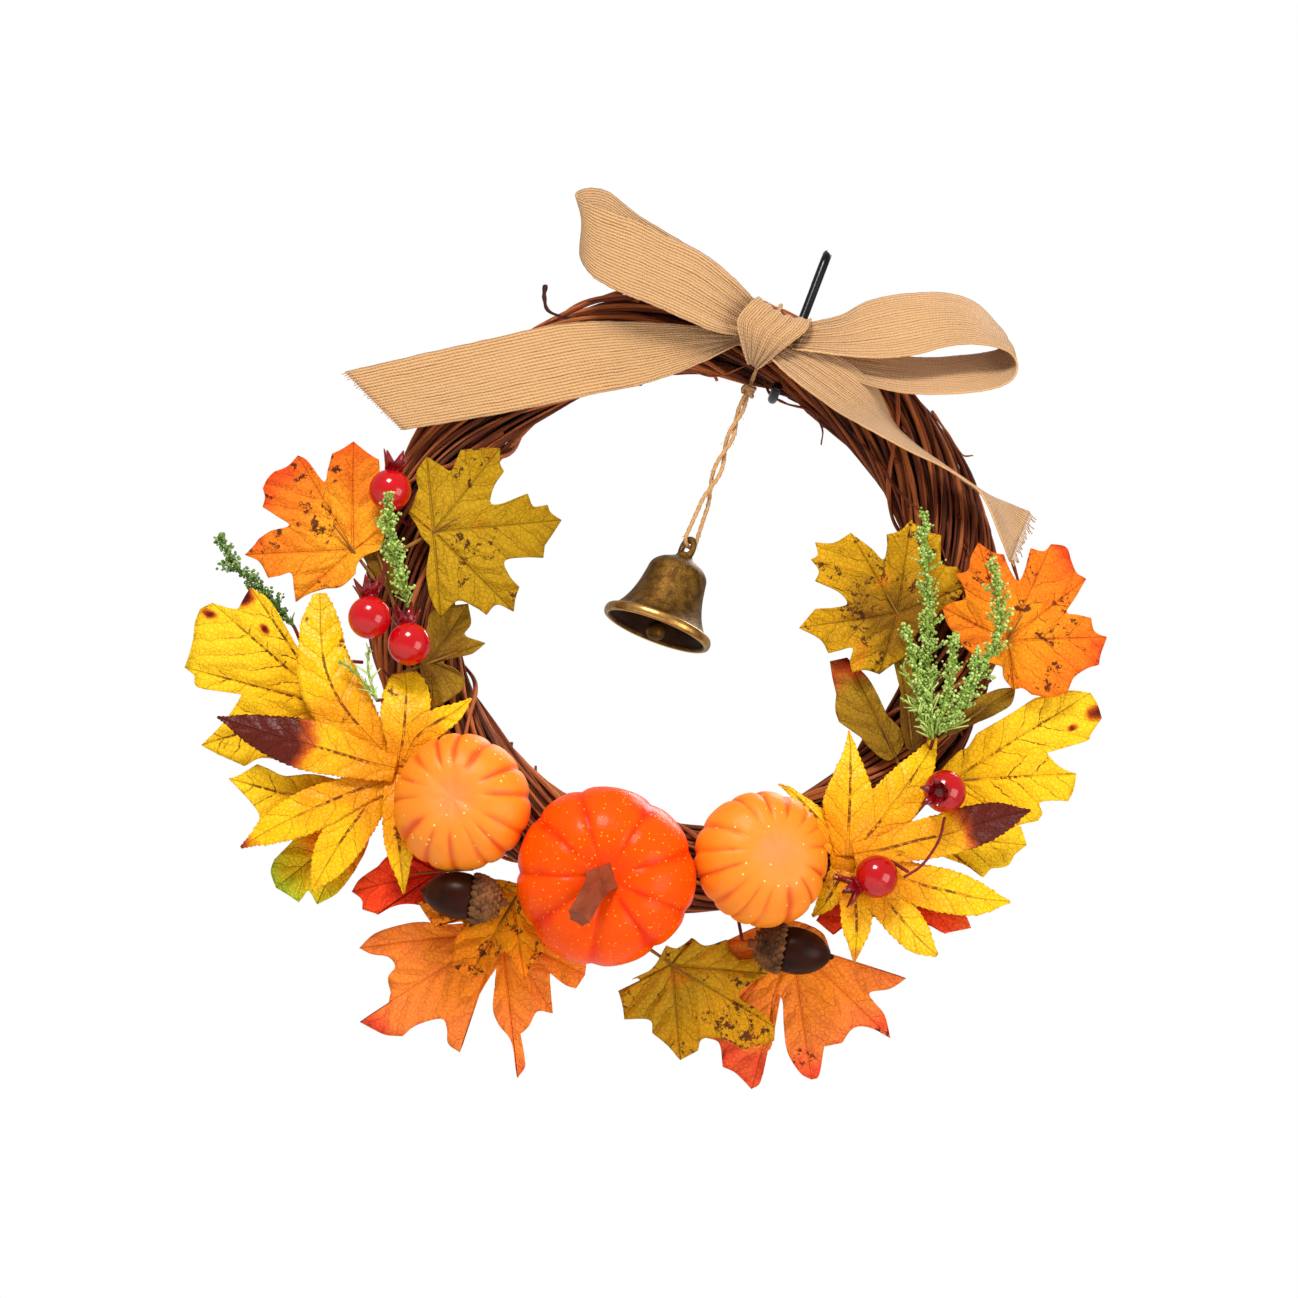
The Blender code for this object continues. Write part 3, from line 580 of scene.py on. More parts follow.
binding = bmesh.new()
path = []
for step in range(421):
    part = step / 420
    clock = math.radians(24 + 306 * part)
    path.append(on_bundle(clock, 14.5 + 0.4 * math.sin(23 * clock), math.tau * 5.0 * part + 1.0))
sweep(binding, path, lambda index, angle: 0.0007 + 0.00012 * math.sin(index * 0.35), sides=7,
      tone=0.7)
keep(binding, "binding_twig", bark_thin, ["binding_vine"])
TENDRILS = [
    ([(-27.2, 0, 72.4), (-22.5, -1, 69.6), (-15.5, -3, 70.2), (-8.5, -6, 75.5)], 0.55),
    ([(-1.5, 2, 76.5), (2.2, 0, 71.8), (8.0, -1, 70.4), (15.5, -2, 70.6), (21.4, -3, 66.5),
      (23, -4, 61)], 0.5),
    ([(-76.5, -7, 76.5), (-75.2, -8, 72.2), (-71.5, -10, 68.0), (-60, -11, 69)], 0.8),
    ([(-84.5, -3, 53.5), (-88.0, -6, 51.0), (-90.5, -8, 45.0), (-88, -10, 38)], 0.45),
    ([(-57.6, 1, -52.5), (-50.0, -2, -58.5), (-38.0, -4, -67.5), (-22.0, -7, -80.0)], 0.95),
    ([(-59.8, -2, -48.5), (-51.5, -4, -56.5), (-39.5, -5, -66.5), (-24.0, -7, -79.0)], 0.7),
    ([(-56.0, -4, -56.0), (-48.0, -6, -64.0), (-36.5, -8, -73.5), (-26.0, -9, -82.0)], 0.6),
    ([(44.0, -6, 60.0), (52.0, -12, 53.0), (63.0, -15, 47.0), (74.0, -13, 36.0)], 0.55),
    ([(20.0, 0, 76.0), (33.0, -7, 66.5), (46.0, -10, 57.5), (55.0, -9, 47.0), (61.0, -6, 38.0)], 0.6),
    ([(92.0, -8, 47.0), (97.5, -9, 38.0), (99.0, -8, 27.0), (97.0, -8, 16.0)], 0.55),
    ([(-24.0, -13, 90.0), (-40.0, -12.5, 84.5), (-58.0, -12, 77.0), (-72.0, -10, 63.5)], 0.8),
    ([(52.0, -4, 84.5), (60.0, -2, 79.5), (66.0, -1, 75.5), (69.5, -1, 76.5)], 0.5),
    ([(57.0, 4, -56.5), (63.0, 0, -49.0), (68.0, -2, -41.0), (72.5, -4, -31.0)], 0.6),
]
tendrils = bmesh.new()
for _ in range(60):
    clock = chance.uniform(-2.9, 2.9)
    turn = chance.uniform(-1.9, 1.9) + math.pi * chance.choice((0, 1))
    lean = chance.choice((-1, 1))
    stub = [on_bundle(clock + lean * share, 11.4 + rise, turn + 0.15 * share) for share, rise in (
        (0.0, 0), (0.025, 1.2), (0.045, 2.2 + chance.uniform(0, 1.2)))]
    sweep(tendrils, stub, chance.uniform(0.0003, 0.0006), sides=6, tone=chance.uniform(0.2, 1))
for stops, thick in TENDRILS:
    run = placed_curve(stops, 9)
    total = len(run)
    sweep(tendrils, run, lambda index, angle: 0.001 * thick * (1.05 - 0.6 * index / total)
          * (1 + 0.14 * math.sin(index * 0.9)), sides=7, tone=chance.random())
keep(tendrils, "tendrils", bark_thin)

# %% [markdown]
# The hanger is one stiff wire, bent to an S and plated black. It stays a plain sweep: its look is
# all in the dark mirror finish, whose roughness varies a little with handling.

# %% Wire hanger
HOOK_X, HOOK_ARC, CURL, SHANK_TOP = 3.5, 14.9, 6.0, 122.5
HOOK_Z = math.sqrt(RING_RADIUS**2 - HOOK_X**2)
wire = []
for degrees in range(-60, -181, -5):
    a = math.radians(degrees)
    wire.append(at(HOOK_X, -HOOK_ARC * math.cos(a), HOOK_Z + HOOK_ARC * math.sin(a)))
wire += [at(HOOK_X, HOOK_ARC, HOOK_Z + (SHANK_TOP - HOOK_Z) * step / 8) for step in range(1, 8)]
for degrees in range(180, -41, -8):
    a = math.radians(degrees)
    wire.append(at(HOOK_X, HOOK_ARC + CURL + CURL * math.cos(a), SHANK_TOP + CURL * math.sin(a)))
hook = bmesh.new()
sweep(hook, wire, 0.0015, sides=20)
black_nickel = finish("black nickel", grain, {
    "Main": (0.045, 0.042, 0.045, 1), "Shade": (0.02, 0.018, 0.018, 1), "Scale": 400.0,
    "Roughness": 0.16}, 0.00002, Metallic=1.0)
keep(hook, "wire_hanger", black_nickel, ["hanger_hook"], "hanger")

# %% [markdown]
# The bow is 25 mm burlap ribbon: loosely woven jute, stiff enough to stand in open loops. Each
# part is one strip between two edge lines, so that a strip can turn, fold over and narrow where it
# is gathered. Lengthwise pleats deepen towards the knot. The strip gets its thickness last.

# %% Ribbon helper
RIBBON = 25.0
RIBBON_THICK = 0.0006
THREADS, THREAD_RADIUS = 30, 0.00017


def thicken(obj, name, thickness):
    shell = obj.modifiers.new(name, "SOLIDIFY")
    shell.thickness = thickness
    shell.offset = 0


def frayed_end(name, start, end, heading, length):
    """Loose threads along a cut end, which runs from start to end in ring millimetres."""
    chance = random.Random(name)
    threads = bmesh.new()
    for number in range(THREADS):
        root = start.lerp(end, (number + 0.5) / THREADS)
        reach = length * chance.uniform(0.3, 1.0)
        stray = Vector((chance.uniform(-0.3, 0.3), chance.uniform(-0.3, 0.3), chance.uniform(-0.4, 0.1)))
        stops = [root - heading, root + heading * reach * 0.5, root + (heading + stray) * reach]
        sweep(threads, placed_curve(stops, 3), THREAD_RADIUS, sides=5)
    return keep(threads, name, burlap)


def ribbon(name, near, far, nodes, gather=lambda part: 1.0, steps=8, bulge=0.0, fray=0.0):
    """A strip between the edge lines near and far, in ring millimetres, pleated where gathered."""
    first, second = curve_through(near, steps), curve_through(far, steps)
    count, across = len(first), 24
    strip = bmesh.new()
    uv = strip.loops.layers.uv.new("run")
    bmesh.ops.create_grid(strip, x_segments=count - 1, y_segments=across, size=1.0, calc_uvs=True)
    middles = [(a + b) / 2 for a, b in zip(first, second)]
    total = run_length(middles)
    for face in strip.faces:
        for loop in face.loops:
            point = loop.vert.co
            loop[uv].uv = ((point.x + 1) / 2 * total * 0.001, (point.y + 1) / 2 * RIBBON * 0.001)
    chance = random.Random(name)
    phase = chance.uniform(0, math.tau)
    for vert in strip.verts:
        index = grid_step(vert, count - 1)
        share = (vert.co.y + 1) / 2
        point = first[index].lerp(second[index], share)
        heading = middles[min(index + 1, count - 1)] - middles[max(index - 1, 0)]
        normal = heading.cross(second[index] - first[index]).normalized()
        part = index / (count - 1)
        pleat = 0.5 * gather(part) * math.sin(5 * math.tau * share + 2.2 * math.sin(3 * part) + phase)
        soft = 0.35 * math.sin(math.tau * share + 7 * part + phase)
        frayed = 0.12 * chance.uniform(-1, 1) if share in (0.0, 1.0) else 0.0
        point += normal * (pleat + soft + bulge * math.sin(math.pi * share))
        point += (second[index] - first[index]).normalized() * frayed
        vert.co = at(*point)
    area = sum(face.calc_area() for face in strip.faces)
    obj = keep(strip, name, burlap, nodes)
    thicken(obj, "ribbon thickness", RIBBON_THICK)
    flat = (RIBBON * 0.001, round(total * 0.001, 4))
    share = area / (flat[0] * flat[1])
    loose = []
    if fray:
        heading = (middles[-1] - middles[-3]).normalized()
        loose = [frayed_end(name + "_threads", first[-1], second[-1], heading, fray)]
    print("  flat", flat, "share of the flat area", round(share, 2))


print("ribbon", RIBBON, "mm wide")

# %% [markdown]
# The left loop runs out in front, folds over at its outer end and comes back behind, a little
# higher, so that its inside shows above the front layer. The right loop is seen from its open side:
# its near edge hangs lower than its far edge.

# %% Bow loops
left_top = [
    (-12, -23, 91.2), (-21, -26, 95), (-34.4, -28, 98.8), (-47.4, -29.5, 99.3), (-55.1, -30, 100.1),
    (-64.7, -30, 99.9), (-71.7, -29.5, 100), (-76.5, -27, 101.4), (-76.5, -23.5, 104.8),
    (-72.5, -21, 108), (-67.3, -19.5, 108.8), (-57.3, -19, 105.6), (-42.4, -19, 102.7),
    (-28.9, -19.5, 99.9), (-17, -20.5, 94.5)]
left_low = [
    (-13.9, -23, 79.2), (-21, -26, 76.8), (-31, -28, 76.4), (-42.2, -29.5, 76.6), (-49.5, -30, 76.3),
    (-57, -30, 76.8), (-62.8, -29.5, 78.1), (-67.1, -27, 82.1), (-69, -23.5, 86.7), (-64.1, -21, 86.7),
    (-57.5, -19.5, 86.3), (-47.4, -19, 86.3), (-35.1, -19, 84.9), (-24.1, -19.5, 84.2),
    (-14.1, -20.5, 82.3)]


def both_ends(part):
    return max(0.0, 1 - part / 0.28) + max(0.0, 1 - (1 - part) / 0.28)


ribbon("bow_left_loop", left_low, left_top, ["bow_loop_left"], both_ends, bulge=0.8)
right_far = [
    (4.8, -22, 90.5), (14, -19, 97.9), (20, -17, 106), (28.6, -17, 112.3), (41.4, -17, 118.2),
    (51.8, -17, 119.3), (60.6, -17, 115.5), (66, -18, 111.3), (64.7, -18, 107.3), (60.4, -17.5, 104.3),
    (53.9, -17, 101.1), (45, -17, 96.8), (32.6, -18, 92.4), (17.1, -20, 88), (6, -22, 85.4)]
right_near = [
    (3.5, -25, 80.3), (18.1, -30, 82.6), (29.8, -33, 85.7), (39.5, -35, 90.3), (46.5, -35, 95.7),
    (52.8, -35, 99.4), (60.3, -35, 101.9), (67, -34, 102.3), (70.8, -33, 99.2), (70.1, -34, 93.5),
    (63.7, -35, 87.7), (51, -35, 81.4), (38.7, -32, 78.1), (24.8, -27, 77.9), (7.3, -23, 80)]
ribbon("bow_right_loop", right_near, right_far, ["bow_loop_right"], both_ends, bulge=0.5)

# %% [markdown]
# The tails are flat strips. The left one widens steadily to its slanted cut. The right one turns
# edge-on at its middle, opens again and frays at the cut. The knot is the same ribbon wrapped round
# the middle of the bow, in front of the vines: puffed and wide at the top, pinched below.

# %% Bow tails and knot
tail_top = [
    (-12, -19, 81.5), (-15.5, -18.5, 80.3), (-30, -18, 77.8), (-48.9, -17.5, 71.8), (-67.2, -17.3, 63.5),
    (-88.4, -17.3, 49.1), (-106.8, -17.5, 36.1), (-123.7, -18, 24)]
tail_low = [
    (-10.4, -19, 77.3), (-13.6, -18.5, 76.9), (-21.9, -18, 67.8), (-34.3, -17.5, 56.3),
    (-47.6, -17.3, 47.3), (-68.9, -17.3, 32.9), (-84.9, -17.5, 22.7), (-100.3, -18, 13.3)]
ribbon("bow_left_tail", tail_low, tail_top, ["bow_tail_left"],
       lambda part: max(0.0, 1 - part / 0.45), fray=1.1)
tail_up = [
    (2.4, -23, 84.2), (14.8, -25, 84.2), (30.8, -26, 79.5), (41.4, -18, 72.7), (50.2, -18.5, 68.4),
    (59.5, -18.5, 65.6), (68.1, -17, 63.6), (78.5, -15, 61.7), (90.8, -22, 59.8)]
tail_down = [
    (-1.5, -24, 75.2), (5.5, -26, 71.8), (22.2, -28, 66.5), (37.6, -29.5, 63.9), (49.3, -30.5, 62.1),
    (59, -30, 61.3), (67.4, -29, 59.7), (75.7, -27, 56.7), (90, -26, 41.4)]
ribbon("bow_right_tail", tail_down, tail_up, ["bow_tail_right"],
       lambda part: max(0.0, 1 - part / 0.4), fray=3.4)
KNOT = [
    (-17.4, 88.0, -12, 5), (-18.6, 91.2, -11.9, 5.3), (-21.8, 92.6, -11.8, 5.5),
    (-26.4, 91.0, -12.8, 5.8), (-29.4, 86.4, -14.6, 5.2), (-29.2, 81.2, -15.4, 2.2),
    (-25.8, 75.8, -11.6, -1.4), (-21.4, 72.0, -7.8, -4.4), (-18.0, 74.4, -9, -3.4),
    (-17.3, 79.5, -12, 0), (-17.3, 86.6, -13, 2)]
knot_left = [(left, depth, z) for depth, z, left, _ in KNOT]
knot_right = [(right, depth + 0.6, z - 0.3) for depth, z, _, right in KNOT]
ribbon("bow_wrap", knot_left, knot_right, ["bow_knot"], lambda part: 0.7, steps=6,
       bulge=-1.2)

# %% [markdown]
# Autumn leaves are cut from printed cloth. One effect prints them all. It reads a UV map in which
# every lobe has its own frame: how far along its middle vein a point lies, and how far beside it,
# in millimetres. From these come the middle vein, the side veins and the dark branching print.

# %% Leaf print
VEIN_STEP = 7.4  # from one side vein to the next, in millimetres
print_group, given = effect("leaf print", {
    "Inner": tint(245, 150, 40), "Outer": tint(240, 110, 40), "Tip": tint(220, 70, 30),
    "Vein": tint(150, 80, 20), "Spot": tint(64, 20, 14), "Tip start": 0.75, "Spots": 0.3,
    "Veins": 0.4, "Branches": 0.0, "Side marks": 1.0, "Relief": 1.0, "Roughness": 0.6})
place = object_place(print_group)
lobe = node(print_group, "ShaderNodeSeparateXYZ", {0: uv_place(print_group, "lobe")}).outputs
reach = attribute(print_group, "reach")
fine = clouds(place, 900.0, 3, 0.65)
coarse = clouds(place, 95.0, 1)
drift = minus(clouds(place, 85.0, 2), 0.5)

# the colour runs from the foot to the tips
tone = mixed(step_between(plus(reach, times(drift, 1.1)), 0.15, 0.8), given["Inner"], given["Outer"])
tips = step_between(minus(plus(reach, times(drift, 0.8)), given["Tip start"]), 0.0, 0.3)
tone = mixed(tips, tone, given["Tip"])

# veins: one along the lobe, side veins that lean away from it, and a fine net
aside = maths("ABSOLUTE", lobe[1])
wobble = times(minus(clouds(place, 170.0, 3), 0.5), 6.0)
vein_width = minus(0.62, times(reach, 0.42))
middle_vein = step_between(minus(vein_width, aside), 0.0, 0.3)
steps = maths("DIVIDE", plus(minus(lobe[0], aside), wobble), VEIN_STEP)
near = times(maths("ABSOLUTE", minus(maths("FRACT", steps), 0.5)), VEIN_STEP)
veins = maths("MAXIMUM", middle_vein, times(step_between(near, 0.32, 0.08), 0.6))
tone = mixed(times(veins, given["Veins"]), tone, given["Vein"])
net = node(print_group, "ShaderNodeTexVoronoi", {"Vector": place, "Scale": 620.0},
           feature="DISTANCE_TO_EDGE").outputs["Distance"]
net = step_between(net, 0.09, 0.02)
tone = mixed(times(net, 0.1), tone, given["Vein"])
tone = mixed(times(step_between(fine, 0.5, 0.8), 0.14), tone, given["Vein"])

# the dark branching print follows the veins in broken patches
broken = step_between(clouds(place, 620.0, 3, 0.7), 0.43, 0.5)
inner_part = times(step_between(reach, 0.06, 0.2), step_between(reach, 0.9, 0.6))
region = times(step_between(coarse, 0.38, 0.5), inner_part)
side_marks = times(step_between(near, 0.4, 0.15), given["Side marks"])
side_marks = times(side_marks, step_between(aside, 9.0, 4.0))
wide_vein = maths("MAXIMUM", step_between(aside, 0.6, 0.25), side_marks)
branches = times(times(wide_vein, broken), times(region, given["Branches"]))
tone = mixed(branches, tone, given["Spot"])

# specks gather in zones, and a scorched tip goes through amber to brown
flecks = step_between(clouds(place, 380.0, 4, 0.75), 0.53, 0.57)
zones = step_between(plus(coarse, times(given["Spots"], 0.25)), 0.66, 0.71)
tone = mixed(times(times(flecks, zones), 0.9), tone, given["Spot"])
scorch = plus(attribute(print_group, "burn"), drift)
tone = mixed(step_between(scorch, 0.12, 0.5), tone, tint(206, 84, 14))
tone = mixed(step_between(scorch, 0.34, 0.7), tone, tint(92, 24, 8))

# the cloth puffs up between its veins
puff = times(step_between(near, 0.0, 3.6), step_between(aside, 0.0, 2.4))
height = plus(times(fine, 0.3), times(net, -0.25))
height = minus(plus(height, times(times(puff, given["Relief"]), 1.5)), times(veins, 0.6))
put_out(tone, height, plus(given["Roughness"], times(fine, 0.15)))


def look(inner, outer, tip, vein, **rest):
    """Four display colours, and whatever else differs from the group's own values."""
    values = {"Inner": tint(*inner), "Outer": tint(*outer), "Tip": tint(*tip), "Vein": tint(*vein)}
    return {**values, **{label.replace("_", " "): value for label, value in rest.items()}}


LOOKS = {
    "orange": look((252, 160, 30), (246, 124, 26), (236, 78, 22), (214, 92, 12),
                   Spots=0.42, Veins=0.35),
    "fiery": look((250, 146, 22), (252, 120, 22), (240, 70, 24), (214, 80, 10),
                  Spots=0.52, Veins=0.35, Branches=0.4),
    "amber": look((252, 164, 10), (250, 138, 14), (244, 126, 20), (214, 96, 10),
                  Spots=0.75, Veins=0.35, Branches=0.4),
    "olive": look((190, 144, 22), (178, 134, 12), (160, 116, 8), (124, 86, 0),
                  Spots=0.4, Veins=0.5, Roughness=0.7),
    "mixed": look((136, 90, 10), (202, 146, 12), (226, 164, 22), (108, 70, 4),
                  Spots=0.62, Veins=0.4, Branches=0.3),
    "spotted": look((186, 138, 20), (200, 138, 10), (206, 138, 8), (118, 86, 6),
                    Spots=0.85, Veins=0.45, Branches=0.3),
    "dull": look((118, 78, 16), (164, 122, 26), (150, 92, 22), (100, 70, 12),
                 Spots=0.0, Veins=0.4, Tip_start=0.85),
    "rusty": look((150, 108, 20), (168, 124, 24), (180, 44, 24), (100, 70, 12),
                  Spots=0.0, Veins=0.4, Tip_start=0.7),
    "yellow": look((252, 186, 14), (254, 200, 30), (170, 104, 30), (232, 150, 10),
                   Spot=tint(110, 50, 14), Spots=0.05, Veins=0.25, Branches=0.95, Tip_start=1.02,
                   Relief=0.7),
    "green": look((250, 130, 16), (228, 192, 18), (186, 196, 40), (120, 70, 10),
                  Spots=0.0, Veins=0.6, Tip_start=0.72),
    "red": look((232, 48, 18), (250, 70, 24), (250, 92, 34), (150, 12, 14),
                Spots=0.1, Veins=0.45),
    "peach": look((255, 138, 30), (255, 130, 54), (250, 80, 46), (228, 84, 24),
                  Spots=0.0, Veins=0.25, Tip_start=0.7),
    "glossy": look((243, 152, 8), (254, 196, 8), (232, 128, 30), (214, 124, 6),
                   Spot=tint(110, 44, 14), Spots=0.0, Veins=0.3, Branches=0.9, Side_marks=0.0,
                   Tip_start=0.93, Relief=0.35, Roughness=0.28),
}
leaf_finish = {name: finish(name + " leaf", print_group, values, 0.0006, **(
    {"Specular_IOR_Level": 0.12} if values.get("Roughness", 1) > 0.5 else {}))
               for name, values in LOOKS.items()}
print(len(leaf_finish), "leaf prints")

# %% [markdown]
# A broad leaf starts as its outline about the foot of its blade: x and z in millimetres, where a
# third number marks a sharp point, 2 for the end of a main vein and 1 for a small tooth. Between
# sharp points the edge is a smooth line. A grid is then gathered into a fan: its length follows
# the outline and its other side runs from the foot to the edge.

